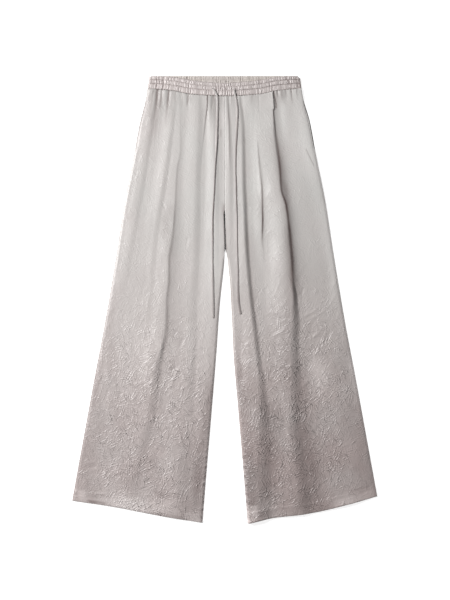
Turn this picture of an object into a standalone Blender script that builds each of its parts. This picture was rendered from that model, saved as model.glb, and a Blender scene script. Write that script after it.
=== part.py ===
# Drawstring trousers laid flat with the front up. The waist points along +Y and the hems along -Y.
# Metres, +Z up. The origin is on the floor, under the middle of the garment.
# Right and left are the wearer's, so right pieces lie at -X.

from collections import namedtuple
from math import exp, pi, sin

import bmesh
import bpy
from mathutils import Vector
from mathutils.bvhtree import BVHTree

MM = 0.001

# Cloth and seams
WALL = 1.2 * MM
SEAM_GAP = 0.3 * MM
HEM_DEPTH = 25 * MM
HEM_EXTRA = 0.6 * MM
AIR = 1.6 * MM
EDGE_SOFTNESS = 26 * MM

# Waistband
BACK_BAND_TOP = 530.5 * MM
BACK_BAND_DEPTH = 31 * MM
BAND_THICKNESS = 3.0 * MM
BAND_EDGE = 1.4 * MM
BAND_STITCH = 1.9 * MM
BAND_GATHERS = 59
GATHER_DEPTH = 0.8 * MM
BAND_FALL = 70 * MM

# Legs
BACK_CROTCH = 115 * MM
FRONT_CROTCH = 222 * MM
SMALL_GATHER_PITCH = 18 * MM
SMALL_GATHER_HEIGHT = 1.1 * MM
SMALL_GATHER_FALL = 34 * MM

# Pocket bags in the side seams
POCKET_MOUTH_TOP = 478 * MM
POCKET_MOUTH_LENGTH = 124 * MM
POCKET_DEPTH = 250 * MM
POCKET_WIDTH = 135 * MM
POCKET_CORNER = 45 * MM
POCKET_WALL = 1.2 * MM
POCKET_INSET = 1.6 * MM
POCKET_EASE = 14 * MM

# Tie cord
CORD_RADIUS = 2.1 * MM
CORD_STEP = 12.5 * MM

# Mesh density
FRONT_COLUMNS = 26
FRONT_ROWS = 27
BACK_COLUMNS = 12
BACK_ROWS = 16
ROW_POWER = 1.3

# Outline tables in millimetres. Each row holds the height along the leg and the half width there.
OUTER_EDGE = (
    (531, 179.5), (481, 186.5), (417, 202), (345, 215), (238, 236.5), (96, 259),
    (-47, 283), (-190, 310), (-332, 336), (-470, 361), (-540, 373),
)
BACK_INNER_EDGE = (
    (600, 0), (115, 0), (60, 6), (-11, 13), (-118, 20.5), (-261, 32), (-403, 44), (-540, 55),
)
FRONT_INNER_EDGE = (
    (600, 0), (222, 0), (115, 1.8), (60, 6), (-11, 13), (-118, 20.5), (-261, 32), (-403, 44), (-540, 55),
)

# Each row holds the distance from the middle and the height along the leg there.
FRONT_BAND_TOP = ((0, 515), (43, 518), (71, 521), (131, 528.5), (190, 530.5))
FRONT_BAND_SEAM = ((0, 485.5), (38, 486.5), (83, 490), (124, 498), (190, 504.5))
HEM_EDGE = {
    "right": ((54, -528.5), (157, -511.5), (257, -492), (364, -476)),
    "left": ((54, -530.5), (109, -518), (202, -506), (300, -483), (360, -466)),
}

# Folds of the front. Crest and height are given at these heights along the leg, in millimetres.
LEVELS = (476, 286, 143, -14, -190, -440)
SPREAD = (0.8, 1.0, 1.1, 1.3, 1.6, 1.9)
Fold = namedtuple("Fold", "name crest height left right")
FRONT_FOLDS = (
    Fold("outer right hip", (-170, -200, -226, -254, -278, -297), (1.5, 2.5, 1.5, 0.5, 0, 0), 20, 13),
    Fold("right side ridge", (-123, -150, -174, -188, -202, -226), (1.5, 2.5, 1.2, 0, 0, 0), 24, 14),
    Fold("right long fold", (-112, -126, -135, -150, -183, -226), (0, 3, 6, 6, 4, 1.5), 28, 18),
    Fold("right inner ridge", (-64, -74, -78, -89, -97, -126), (2, 4, 3.5, 2.5, 2, 1), 30, 18),
    Fold("right pleat", (-31, -29, -31, -37, -45, -66), (3, 5, 4, 3, 2, 1), 18, 22),
    Fold("centre fold", (3, 8, 8, 8, 8, 8), (2, 2.5, 0.8, 0, 0, 0), 16, 12),
    Fold("left inner fold", (26, 38, 45, 57, 76, 92), (1, 3.5, 5.5, 5, 3.5, 1.5), 24, 18),
    Fold("left thin fold", (74, 83, 84, 88, 88, 88), (1.5, 3, 2, 0.5, 0, 0), 18, 9),
    Fold("left pleat", (102, 116, 130, 140, 145, 150), (3, 8, 10, 9, 6, 3), 30, 24),
    Fold("left pleat foot", (140, 154, 160, 164, 170, 180), (1.5, 1, 0, 0, 0, 0), 10, 12),
    Fold("left shin swell", (190, 205, 220, 235, 255, 292), (0, 0, 0, 0.5, 2, 4), 48, 34),
)
# Soft waves of the back, which lies on the floor between them
BACK_FOLDS = (
    Fold("right back ridge", (-96, -112, -124, -140, -160, -190), (0.8, 1.2, 1.2, 1, 0.8, 0.6), 30, 30),
    Fold("right seat fold", (-40, -46, -50, -62, -78, -96), (0.8, 1.2, 1, 0.8, 0.6, 0), 26, 26),
    Fold("left back ridge", (104, 118, 132, 150, 172, 205), (0.8, 1.3, 1.2, 1, 0.8, 0.6), 30, 30),
    Fold("left seat fold", (44, 50, 54, 66, 82, 100), (0.8, 1.1, 1, 0.8, 0.5, 0), 26, 26),
)

# Ties, as points across and along the garment in millimetres, from the buttonhole to the free end
TIE_ROUTES = {
    "right": (
        (-31, 504), (-25, 494), (-18.5, 483), (-18.5, 462), (-19, 390), (-22.5, 312), (-24, 286),
        (-27.5, 196), (-28.5, 104), (-27, 13), (-25, -42),
    ),
    "left": (
        (22.5, 503), (24, 492), (28.5, 477), (30, 460), (29.5, 367), (27, 286), (30, 217), (31.5, 150),
        (31.5, 81), (34, 1), (39.5, -33),
    ),
}

SIDES = {"right": -1, "left": 1}


def table_value(table, at):
    # Smooth curve through a short table whose first column runs up or down.
    rows = sorted(table)
    if at <= rows[0][0]:
        return rows[0][1]
    if at >= rows[-1][0]:
        return rows[-1][1]
    i = 0
    while at > rows[i + 1][0]:
        i += 1

    def slope(k):
        if k == 0 or k == len(rows) - 1:
            a = min(k, len(rows) - 2)
            return (rows[a + 1][1] - rows[a][1]) / (rows[a + 1][0] - rows[a][0])
        before = (rows[k][1] - rows[k - 1][1]) / (rows[k][0] - rows[k - 1][0])
        after = (rows[k + 1][1] - rows[k][1]) / (rows[k + 1][0] - rows[k][0])
        if before * after <= 0:
            return 0.0
        return 2 * before * after / (before + after)

    step = rows[i + 1][0] - rows[i][0]
    t = (at - rows[i][0]) / step
    return (
        rows[i][1] * (1 + 2 * t) * (1 - t) ** 2
        + rows[i + 1][1] * t * t * (3 - 2 * t)
        + slope(i) * step * t * (1 - t) ** 2
        - slope(i + 1) * step * t * t * (1 - t)
    )


def ease(low, high, value):
    t = min(max((value - low) / (high - low), 0.0), 1.0)
    return t * t * (3 - 2 * t)


def outer_edge(y):
    return table_value(OUTER_EDGE, y / MM) * MM


def inner_edge(y, table):
    return table_value(table, y / MM) * MM + SEAM_GAP / 2


def band_seam(x):
    return table_value(FRONT_BAND_SEAM, abs(x) / MM) * MM


def band_top(x):
    return table_value(FRONT_BAND_TOP, abs(x) / MM) * MM


def fold_height(folds, x, y):
    # Sum of the folds at a point, each a soft ridge with its own flanks.
    total = 0.0
    spread = table_value(tuple(zip(LEVELS, SPREAD)), y / MM)
    for fold in folds:
        height = table_value(tuple(zip(LEVELS, fold.height)), y / MM)
        away = x / MM - table_value(tuple(zip(LEVELS, fold.crest)), y / MM)
        flank = fold.left if away < 0 else fold.right
        t = abs(away) / (flank * spread)
        if t < 1:
            total += height * (1 - t * t) ** 2
    return total * MM


def edge_ease(x, y, inner_table, crotch):
    # 0 on the side seam and the inseam, 1 well inside the panel. The centre seam counts as inside.
    to_outer = outer_edge(y) - abs(x)
    to_inner = abs(x) - inner_edge(y, inner_table) + max(0.0, y - crotch)
    return ease(0, EDGE_SOFTNESS, to_outer) * ease(0, EDGE_SOFTNESS, to_inner)


def back_rise(x, y):
    # The back lies flat under the pocket bags, and its waves start below them.
    below_bags = POCKET_MOUTH_TOP - POCKET_DEPTH - POCKET_EASE - y
    folds = fold_height(BACK_FOLDS, x, y) * ease(0, BAND_FALL, below_bags)
    return folds * edge_ease(x, y, BACK_INNER_EDGE, BACK_CROTCH)


def small_gathers(x, below_seam):
    phase = 2 * pi * x / SMALL_GATHER_PITCH + 1.4 * sin(x / MM / 23) + 0.8 * sin(x / MM / 9)
    return SMALL_GATHER_HEIGHT * (0.5 + 0.5 * sin(phase)) * exp(-below_seam / SMALL_GATHER_FALL)


def pocket_room(x, y):
    # Room that the front leaves for the pocket bag under it.
    from_side = outer_edge(y) - abs(x)
    across = 1 - ease(POCKET_WIDTH + POCKET_EASE / 2, POCKET_WIDTH + 2 * POCKET_EASE, from_side)
    bottom = POCKET_MOUTH_TOP - POCKET_DEPTH
    along = ease(bottom - 2.5 * POCKET_EASE, bottom - POCKET_EASE, y)
    return (POCKET_WALL + SEAM_GAP) * across * along


def front_rise(x, y):
    below_seam = max(0.0, band_seam(x) - y)
    inside = edge_ease(x, y, FRONT_INNER_EDGE, FRONT_CROTCH)
    folds = fold_height(FRONT_FOLDS, x, y) * (0.35 + 0.65 * ease(0, 2 * HEM_DEPTH, below_seam))
    to_band = (BAND_THICKNESS - WALL) * (1 - ease(0, BAND_FALL, below_seam))
    return (
        back_rise(x, y)
        + to_band
        + pocket_room(x, y)
        + (AIR + folds + small_gathers(x, below_seam)) * inside
    )


def new_material(name, colour, roughness):
    material = bpy.data.materials.new(name)
    material.use_nodes = True
    shader = material.node_tree.nodes["Principled BSDF"]
    shader.inputs["Base Color"].default_value = (*colour, 1)
    shader.inputs["Roughness"].default_value = roughness
    shader.inputs["Metallic"].default_value = 0
    return material


def add_mesh(name, verts, faces, colour, roughness=0.45):
    mesh = bpy.data.meshes.new(name)
    mesh.from_pydata(verts, [], faces)
    bm = bmesh.new()
    bm.from_mesh(mesh)
    bmesh.ops.triangulate(bm, faces=bm.faces)
    bmesh.ops.recalc_face_normals(bm, faces=bm.faces)
    bm.to_mesh(mesh)
    bm.free()
    mesh.materials.append(new_material(name, colour, roughness))
    mesh.shade_smooth()
    mesh.set_sharp_from_angle(angle=pi / 4)
    obj = bpy.data.objects.new(name, mesh)
    bpy.context.collection.objects.link(obj)
    return obj


def slab_from_grid(name, columns, rows, lower, upper, colour):
    # Closes a lower and an upper grid of points into one body.
    verts = [lower(i, j) for i in range(columns + 1) for j in range(rows + 1)]
    verts += [upper(i, j) for i in range(columns + 1) for j in range(rows + 1)]
    layer = (columns + 1) * (rows + 1)

    def at(i, j, top):
        return i * (rows + 1) + j + (layer if top else 0)

    faces = []
    for i in range(columns):
        for j in range(rows):
            faces.append((at(i, j, 0), at(i + 1, j, 0), at(i + 1, j + 1, 0), at(i, j + 1, 0)))
            faces.append((at(i, j, 1), at(i, j + 1, 1), at(i + 1, j + 1, 1), at(i + 1, j, 1)))
    for i in range(columns):
        for j in (0, rows):
            faces.append((at(i, j, 0), at(i, j, 1), at(i + 1, j, 1), at(i + 1, j, 0)))
    for j in range(rows):
        for i in (0, columns):
            faces.append((at(i, j, 0), at(i, j + 1, 0), at(i, j + 1, 1), at(i, j, 1)))
    return add_mesh(name, verts, faces, colour)


def row_shares(rows, top, crotches):
    # Shares of a leg's length, close together under the waistband, with one at each crotch.
    shares = [(i / rows) ** ROW_POWER for i in range(rows + 1)]
    length = top + 530 * MM
    for crotch in crotches:
        share = (top - crotch) / length
        nearest = min(range(1, rows), key=lambda i: abs(shares[i] - share))
        shares[nearest] = share
    return shares


def leg_points(side, columns, shares, top_of, inner_table):
    # Points of a leg panel on the floor, with the distance of each from the hem.
    sign = SIDES[side]
    grid = {}
    for i in range(columns + 1):
        u = i / columns
        top_x = outer_edge(500 * MM) * u
        hem_y = -500 * MM
        for _ in range(4):
            hem_x = inner_edge(hem_y, inner_table) * (1 - u) + outer_edge(hem_y) * u
            hem_y = table_value(HEM_EDGE[side], hem_x / MM) * MM
        top_y = top_of(top_x) - SEAM_GAP
        length = top_y - hem_y
        for j, share in enumerate(shares):
            y = top_y - length * share
            if j == len(shares) - 3:
                y = hem_y + HEM_DEPTH + HEM_EXTRA
            if j == len(shares) - 2:
                y = hem_y + HEM_DEPTH
            x = inner_edge(y, inner_table) * (1 - u) + outer_edge(y) * u
            grid[i, j] = (sign * x, y, y - hem_y)
    return grid


def hem_rise(above_hem):
    return HEM_EXTRA if above_hem <= HEM_DEPTH + SEAM_GAP else 0.0


def back_panel(side):
    seam = BACK_BAND_TOP - BACK_BAND_DEPTH
    shares = row_shares(BACK_ROWS, seam, (BACK_CROTCH,))
    shares = shares[:-1] + [0.99, 1.0]
    grid = leg_points(side, BACK_COLUMNS, shares, lambda x: seam, BACK_INNER_EDGE)

    def lower(i, j):
        x, y, _ = grid[i, j]
        return (x, y, back_rise(x, y))

    def upper(i, j):
        x, y, above = grid[i, j]
        return (x, y, back_rise(x, y) + WALL + hem_rise(above))

    return slab_from_grid(
        f"back_{side}", BACK_COLUMNS, len(shares) - 1, lower, upper, (0.50, 0.47, 0.455)
    )


def front_panel(side):
    shares = row_shares(FRONT_ROWS, band_seam(0), (FRONT_CROTCH, BACK_CROTCH))
    shares = shares[:-1] + [0.99, 1.0]
    grid = leg_points(side, FRONT_COLUMNS, shares, band_seam, FRONT_INNER_EDGE)

    def pocket_mouth(i, x, y):
        # The panel's side edge stands back a little along the pocket mouth.
        if i < FRONT_COLUMNS:
            return x
        bottom = POCKET_MOUTH_TOP - POCKET_MOUTH_LENGTH
        open_here = ease(bottom - 4 * MM, bottom + 12 * MM, y) * ease(0, 8 * MM, POCKET_MOUTH_TOP - y)
        return x - SIDES[side] * POCKET_INSET * open_here

    def lower(i, j):
        x, y, above = grid[i, j]
        base = WALL + SEAM_GAP + hem_rise(above - HEM_EXTRA)
        return (pocket_mouth(i, x, y), y, base + front_rise(x, y))

    def upper(i, j):
        x, y, z = lower(i, j)
        return (x, y, z + WALL + hem_rise(grid[i, j][2]))

    return slab_from_grid(
        f"front_{side}", FRONT_COLUMNS, len(shares) - 1, lower, upper, (0.58, 0.545, 0.53)
    )


def pocket_bag(side):
    # Both layers of the bag pressed together, with round lower corners, under the front panel.
    sign = SIDES[side]
    top = POCKET_MOUTH_TOP
    bottom = top - POCKET_DEPTH
    spots = [(POCKET_INSET + 2 * SEAM_GAP, top), (POCKET_WIDTH * 0.5, top), (POCKET_WIDTH * 0.85, top)]
    for k in range(7):
        turn = pi / 2 * k / 6
        corner_x = POCKET_WIDTH - POCKET_CORNER * (1 - sin(turn + pi / 2))
        spots.append((corner_x, bottom + POCKET_CORNER * (1 - sin(turn))))
    for k in range(1, 7):
        turn = pi / 2 * k / 6
        corner_x = POCKET_INSET + POCKET_CORNER * (1 - sin(turn))
        spots.append((corner_x, bottom + POCKET_CORNER * (1 - sin(pi / 2 - turn))))
    spots.append((POCKET_INSET + 2 * SEAM_GAP, top - POCKET_MOUTH_LENGTH))
    outline = [(sign * (outer_edge(y) - inward), y) for inward, y in spots]
    low = [(x, y, back_rise(x, y) + WALL + SEAM_GAP) for x, y in outline]
    centre = (sign * (outer_edge(bottom) - POCKET_WIDTH / 2), (top + bottom) / 2)
    low.append((*centre, back_rise(*centre) + WALL + SEAM_GAP))
    high = [(x, y, z + POCKET_WALL) for x, y, z in low]
    count = len(outline)
    faces = []
    for k in range(count):
        after = (k + 1) % count
        faces.append((k, after, count))
        faces.append((count + 1 + after, count + 1 + k, 2 * count + 1))
        faces.append((after, k, count + 1 + k, count + 1 + after))
    return add_mesh(f"pocket_bag_{side}", low + high, faces, (0.52, 0.49, 0.475))


def waistband(name, base, bottom_of, top_of, colour):
    # Gathered casing with three channels between two rows of stitching.
    section = (
        (0.0, 0.0), (1.0, 0.0), (1.0, BAND_EDGE), (0.83, BAND_THICKNESS), (0.67, BAND_STITCH),
        (0.5, BAND_THICKNESS), (0.33, BAND_STITCH), (0.17, BAND_THICKNESS), (0.0, BAND_EDGE),
    )
    columns = 2 * BAND_GATHERS
    verts = []
    for i in range(columns + 1):
        across = 2 * i / columns - 1
        valley = i % 2
        middle = outer_edge(BACK_BAND_TOP) * across
        for share, height in section:
            y = bottom_of(middle) + (top_of(middle) - bottom_of(middle)) * share
            if share == 1.0:
                y -= valley * GATHER_DEPTH
            x = outer_edge(y) * across
            drop = GATHER_DEPTH * valley * height / BAND_THICKNESS
            verts.append((x, y, base + height - drop))
    ring = len(section)
    faces = []
    for i in range(columns):
        for k in range(ring):
            after = (k + 1) % ring
            a = i * ring
            b = a + ring
            faces.append((a + k, a + after, b + after, b + k))
    faces.append(tuple(range(ring)))
    faces.append(tuple(columns * ring + k for k in range(ring)))
    return add_mesh(name, verts, faces, colour)


def smooth_route(points, step):
    # Evenly spaced points along a smooth curve through the route's own points.
    padded = [points[0], *points, points[-1]]
    fine = []
    for k in range(len(points) - 1):
        p0, p1, p2, p3 = (Vector(p) for p in padded[k : k + 4])
        for n in range(40):
            t = n / 40
            fine.append(
                0.5 * (2 * p1 + (p2 - p0) * t + (2 * p0 - 5 * p1 + 4 * p2 - p3) * t**2)
                + 0.5 * (3 * p1 - p0 - 3 * p2 + p3) * t**3
            )
    fine.append(Vector(points[-1]))
    spaced = [fine[0]]
    walked = 0.0
    for before, here in zip(fine, fine[1:]):
        walked += (here - before).length
        if walked >= step:
            spaced.append(here)
            walked = 0.0
    if (spaced[-1] - fine[-1]).length > step / 2:
        spaced.append(fine[-1])
    return spaced


def surface_under(trees, x, y):
    # Highest point of the given pieces straight below a spot.
    best = 0.0
    for tree in trees:
        hit = tree.ray_cast(Vector((x, y, 0.1)), Vector((0, 0, -1)))[0]
        if hit is not None:
            best = max(best, hit.z)
    return best


def tie(side, pieces):
    trees = []
    for piece in pieces:
        bm = bmesh.new()
        bm.from_mesh(piece.data)
        trees.append(BVHTree.FromBMesh(bm))
        bm.free()
    route = smooth_route([(x * MM, y * MM) for x, y in TIE_ROUTES[side]], CORD_STEP)
    reach = CORD_STEP * 0.6
    heights = []
    for spot in route:
        around = [(dx, dy) for dx in (-CORD_RADIUS, 0, CORD_RADIUS) for dy in (-reach, 0, reach)]
        heights.append(max(surface_under(trees, spot.x + dx, spot.y + dy) for dx, dy in around))
    curve = bpy.data.curves.new(f"drawstring_{side}", "CURVE")
    curve.dimensions = "3D"
    curve.bevel_depth = CORD_RADIUS
    curve.bevel_resolution = 2
    curve.use_fill_caps = True
    spline = curve.splines.new("POLY")
    spline.points.add(len(route) - 1)
    for k, spot in enumerate(route):
        nearby = heights[max(k - 1, 0) : k + 2]
        z = (sum(nearby) / len(nearby) + max(nearby)) / 2
        z = max(z, heights[k]) + CORD_RADIUS + SEAM_GAP
        spline.points[k].co = (spot.x, spot.y, z, 1)
    curve.materials.append(new_material(f"drawstring_{side}", (0.45, 0.42, 0.41), 0.5))
    obj = bpy.data.objects.new(f"drawstring_{side}", curve)
    bpy.context.collection.objects.link(obj)
    return obj


def build():
    for obj in list(bpy.data.objects):
        bpy.data.objects.remove(obj, do_unlink=True)
    fronts = []
    for side in SIDES:
        back_panel(side)
        pocket_bag(side)
        fronts.append(front_panel(side))
    back_bottom = BACK_BAND_TOP - BACK_BAND_DEPTH
    waistband(
        "waistband_back", 0.0, lambda x: back_bottom, lambda x: BACK_BAND_TOP, (0.55, 0.52, 0.49)
    )
    front_band = waistband(
        "waistband_front", BAND_THICKNESS + SEAM_GAP, band_seam, band_top, (0.55, 0.515, 0.5)
    )
    for side in SIDES:
        tie(side, [*fronts, front_band])


build()
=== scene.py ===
# Drawstring trousers in crushed satin, laid flat with the front up.
# Each piece has one dictionary with what a user would change, beside the code that uses it.

from functools import partial
from math import cos, pi, sin

import bpy
import numpy as np
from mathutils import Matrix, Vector
from mathutils.bvhtree import BVHTree


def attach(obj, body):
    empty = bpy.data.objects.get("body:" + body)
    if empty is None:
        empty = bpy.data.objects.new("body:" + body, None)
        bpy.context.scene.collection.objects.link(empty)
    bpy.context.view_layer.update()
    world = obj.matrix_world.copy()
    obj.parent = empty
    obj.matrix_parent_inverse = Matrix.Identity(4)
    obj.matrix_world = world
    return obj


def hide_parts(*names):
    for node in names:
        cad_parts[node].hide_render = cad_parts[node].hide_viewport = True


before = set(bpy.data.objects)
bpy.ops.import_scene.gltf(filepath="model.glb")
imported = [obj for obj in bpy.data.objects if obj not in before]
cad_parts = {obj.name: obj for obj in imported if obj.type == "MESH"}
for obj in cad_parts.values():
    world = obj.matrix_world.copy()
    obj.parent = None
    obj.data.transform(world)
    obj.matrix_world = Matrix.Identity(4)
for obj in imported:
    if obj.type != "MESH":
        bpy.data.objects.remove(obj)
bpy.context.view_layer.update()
mm = 0.001
sides = {"right": -1, "left": 1}  # the wearer's sides, so right lies at -X

# Outline tables in millimetres: height along the leg, then half width there
outerEdge = (
    (531, 179.5), (481, 186.5), (417, 202), (345, 215), (238, 236.5), (96, 259),
    (-47, 283), (-190, 310), (-332, 336), (-470, 361), (-540, 373),
)
innerBelow = ((-11, 13), (-118, 20.5), (-261, 32), (-403, 44), (-540, 55))
leftInnerBelow = ((-60, 17.4), (-118, 20), (-261, 32), (-403, 44), (-540, 55))
leftGap = ((96, 5.7), (72, 8.6), (60, 10.2), (40, 12.3), (1, 14.5))
frontInner = {  # height along the leg, then distance from the middle: a slot opens above the crotch
    "right": (
        (600, 0), (214, 0.5), (209, 2.2), (203, 2.9), (185, 2.2), (167, 1.6), (143, 1.0), (118, 0.95),
        (108, 1.0), (96, 1.5), (60, 5.4), *innerBelow,
    ),
    "left": (
        (600, 0), (208, 0.5), (203, 0.9), (185, 1.0), (167, 1.3), (143, 2.0), (122, 2.5), (113, 3.2),
        *leftGap, *leftInnerBelow,
    ),
}
backInner = {
    "right": ((600, 0), (121, 0), (116, 0.95), (108, 1.0), (96, 1.5), (60, 5.4), *innerBelow),
    "left": ((600, 0), (121, 0), (117, 1.6), (113, 3.1), *leftGap, *leftInnerBelow),
}
# Distance from the middle, then height along the leg
bandTopEdge = ((0, 515), (43, 518), (71, 521), (131, 528.5), (190, 530.5))
bandSeamEdge = ((0, 485.5), (38, 486.5), (83, 490), (124, 498), (190, 504.5))
hemEdge = {
    "right": ((54, -528.5), (157, -511.5), (257, -492), (364, -476)),
    "left": ((54, -530.5), (109, -518), (202, -506), (300, -483), (360, -466)),
}

tableCache = {}


def readTable(table, at):
    # smooth curve through a short table, for whole arrays at once
    if table not in tableCache:
        rows = sorted(table)
        xs = np.array([row[0] for row in rows], float)
        ys = np.array([row[1] for row in rows], float)
        run = np.diff(xs)
        rise = np.diff(ys) / run
        slopes = np.concatenate([[rise[0]], np.zeros(len(xs) - 2), [rise[-1]]])
        for k in range(1, len(xs) - 1):
            if rise[k - 1] * rise[k] > 0:
                slopes[k] = 2 * rise[k - 1] * rise[k] / (rise[k - 1] + rise[k])
        fine = np.linspace(xs[0], xs[-1], 1500)
        i = np.clip(np.searchsorted(xs, fine, side="right") - 1, 0, len(xs) - 2)
        t = (fine - xs[i]) / run[i]
        values = ys[i] * (1 + 2 * t) * (1 - t) ** 2 + ys[i + 1] * t * t * (3 - 2 * t)
        values += slopes[i] * run[i] * t * (1 - t) ** 2 - slopes[i + 1] * run[i] * t * t * (1 - t)
        tableCache[table] = (fine, values)
    fine, values = tableCache[table]
    return np.interp(at, fine, values)


def smoothStep(low, high, value):
    t = np.clip((value - low) / (high - low), 0, 1)
    return t * t * (3 - 2 * t)


def gradientNoise(x, y, seed):
    # soft noise from -0.7 to 0.7 on a unit grid
    turns = np.random.default_rng(seed).random((256, 256)) * 2 * pi
    xi, yi = np.floor(x).astype(int), np.floor(y).astype(int)
    fx, fy = x - xi, y - yi
    sx, sy = fx**3 * (fx * (fx * 6 - 15) + 10), fy**3 * (fy * (fy * 6 - 15) + 10)

    def corner(dx, dy):
        turn = turns[(xi + dx) & 255, (yi + dy) & 255]
        return np.cos(turn) * (fx - dx) + np.sin(turn) * (fy - dy)

    low = corner(0, 0) * (1 - sx) + corner(1, 0) * sx
    high = corner(0, 1) * (1 - sx) + corner(1, 1) * sx
    return low * (1 - sy) + high * sy


print("camera")
cameraSettings = {
    "lens": 85.0,
    "height": 3.3674,  # 600 pixels then cover 1.426 m at the cloth
    "middle": (0.0, 0.0006),
}
cameraData = bpy.data.cameras.new("camera")
cameraData.lens = cameraSettings["lens"]
cameraData.clip_end = 20
camera = bpy.data.objects.new("camera", cameraData)
camera.location = (*cameraSettings["middle"], cameraSettings["height"])
bpy.context.collection.objects.link(camera)
bpy.context.scene.camera = camera


print("materials")


def newGroup(name, inputs, outputs):
    group = bpy.data.node_groups.new(name, "ShaderNodeTree")
    kinds = {1: "Float", 3: "Vector", 4: "Color"}
    for label, value in inputs.items():
        kind = "NodeSocket" + kinds[np.size(value)]
        socket = group.interface.new_socket(name=label, in_out="INPUT", socket_type=kind)
        socket.default_value = value
    for label, kind in outputs.items():
        group.interface.new_socket(name=label, in_out="OUTPUT", socket_type="NodeSocket" + kind)
    return group, group.nodes.new("NodeGroupInput").outputs, group.nodes.new("NodeGroupOutput").inputs


def addNode(tree, kind, inputs, **settings):
    # each input is a value, or the output that is linked to it
    node = tree.nodes.new("ShaderNode" + kind)
    for label, value in settings.items():
        setattr(node, label, value)
    for label, value in inputs.items():
        if isinstance(value, bpy.types.NodeSocket):
            tree.links.new(value, node.inputs[label])
        else:
            node.inputs[label].default_value = value
    return node.outputs


def addMath(tree, operation, *values, clamp=False):
    # one step of arithmetic
    return addNode(tree, "Math", dict(enumerate(values)), operation=operation, use_clamp=clamp)[0]


def makeCrinkleGroup():
    # fine pressed strokes: one short straight fold in each cell of a stretched pattern, in six layers
    group, start, end = newGroup(
        "fineCrinkle", {"Vector": (0, 0, 0), "Size": 1.0, "Patchiness": 0.6}, {"Height": "Float"}
    )
    node, calc = partial(addNode, group), partial(addMath, group)
    at = start["Vector"]
    total = None
    # turn of the strokes, stretch, cells in a metre, half width in metres, height, how far they stray
    layers = (
        (0.9, 4.4, 190.0, 0.0017, 0.86, 0.3),
        (1.2, 5.4, 160.0, 0.0017, 0.85, 0.2),
        (1.65, 4.6, 185.0, 0.0017, 0.9, 0.3),
        (2.15, 4.6, 185.0, 0.0017, 1.4, 0.3),
        (2.7, 4.2, 190.0, 0.0017, 1.4, 0.3),
        (0.38, 4.2, 190.0, 0.0017, 1.0, 0.3),
    )
    for number, (turn, stretch, cells, halfWidth, weight, stray) in enumerate(layers):
        shift = (2.3 * number, 1.7 * number, 0)
        lie = {"Location": shift, "Rotation": (0, 0, turn), "Scale": (stretch, 1, 1)}
        placed = node("Mapping", {"Vector": at, **lie}, vector_type="TEXTURE")["Vector"]
        scale = calc("MULTIPLY", start["Size"], cells)
        pattern = node("TexVoronoi", {"Vector": placed, "Scale": scale}, voronoi_dimensions="2D")
        offset = node("VectorMath", {0: placed, 1: pattern["Position"]}, operation="SUBTRACT")["Vector"]
        place = node("SeparateXYZ", {"Vector": offset})
        chance = node("SeparateColor", {"Color": pattern["Color"]})
        slant = calc("MULTIPLY", calc("SUBTRACT", chance["Red"], 0.5), 2 * stray * stretch)
        across = calc("ADD", place["Y"], calc("MULTIPLY", place["X"], slant))
        fall = calc("DIVIDE", calc("ABSOLUTE", across), halfWidth)
        tent = calc("SUBTRACT", 1.0, fall, clamp=True)
        along = calc("MULTIPLY", calc("MULTIPLY", place["X"], scale), 1.9)
        fade = calc("SUBTRACT", 1.0, calc("MULTIPLY", along, along), clamp=True)
        size = calc("MULTIPLY", calc("SUBTRACT", chance["Green"], 0.3), 1.35 * weight)
        shifted = node("VectorMath", {0: at, 1: (3.1 * number, 5.3 * number, 0)})["Vector"]
        zone = node("TexNoise", {"Vector": shifted, "Scale": 15.0 + 2.0 * number, "Detail": 1.0})["Fac"]
        here = calc("MULTIPLY", calc("SUBTRACT", zone, 0.37), 6.0, clamp=True)  # patches of one direction
        layer = calc("MULTIPLY", calc("MULTIPLY", tent, fade), calc("MULTIPLY", size, here))
        total = layer if total is None else calc("ADD", total, layer)
    patches = node("TexNoise", {"Vector": at, "Scale": 26.0, "Detail": 3.0, "Roughness": 0.7})["Fac"]
    spread = calc("MULTIPLY", calc("SUBTRACT", patches, 0.36), 3.4, clamp=True)
    share = calc("SUBTRACT", 1.0, calc("MULTIPLY", start["Patchiness"], spread))
    split = node("SeparateXYZ", {"Vector": at})
    slanted = calc("SUBTRACT", split["Y"], calc("MULTIPLY", split["X"], 0.12))
    fromMiddle = calc("ABSOLUTE", calc("SUBTRACT", calc("ABSOLUTE", split["X"]), 0.165))
    hips = {"Value": slanted, "From Min": 0.1, "From Max": -0.3, "To Min": 0.19}  # calmer over the hips
    seams = {"Value": fromMiddle, "From Min": 0.19, "From Max": 0.06, "To Min": 0.4}  # and by the leg seams
    downLeg, middle = (
        node("MapRange", ends, interpolation_type="SMOOTHSTEP")["Result"] for ends in (hips, seams)
    )
    lines = calc("MULTIPLY", calc("MULTIPLY", total, share), middle)
    group.links.new(calc("MULTIPLY", lines, downLeg), end["Height"])
    return group


def makeWeaveGroup():
    # satin floats: fine ribs along the warp with slubs, and a faint cross rib
    group, start, end = newGroup(
        "satinWeave", {"Vector": (0, 0, 0), "Threads": 2600.0}, {"Height": "Float", "Slub": "Float"}
    )
    ribs = []
    for scale in ((1.0, 0.045, 0.045), (0.09, 0.6, 0.09)):
        mapped = addNode(group, "Mapping", {"Vector": start["Vector"], "Scale": scale})["Vector"]
        noise = {"Vector": mapped, "Scale": start["Threads"], "Detail": 1.0}
        ribs.append(addNode(group, "TexNoise", noise)["Fac"])
    cross = addMath(group, "MULTIPLY", ribs[1], 0.5)
    group.links.new(addMath(group, "ADD", ribs[0], cross), end["Height"])
    group.links.new(ribs[0], end["Slub"])
    return group


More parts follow.
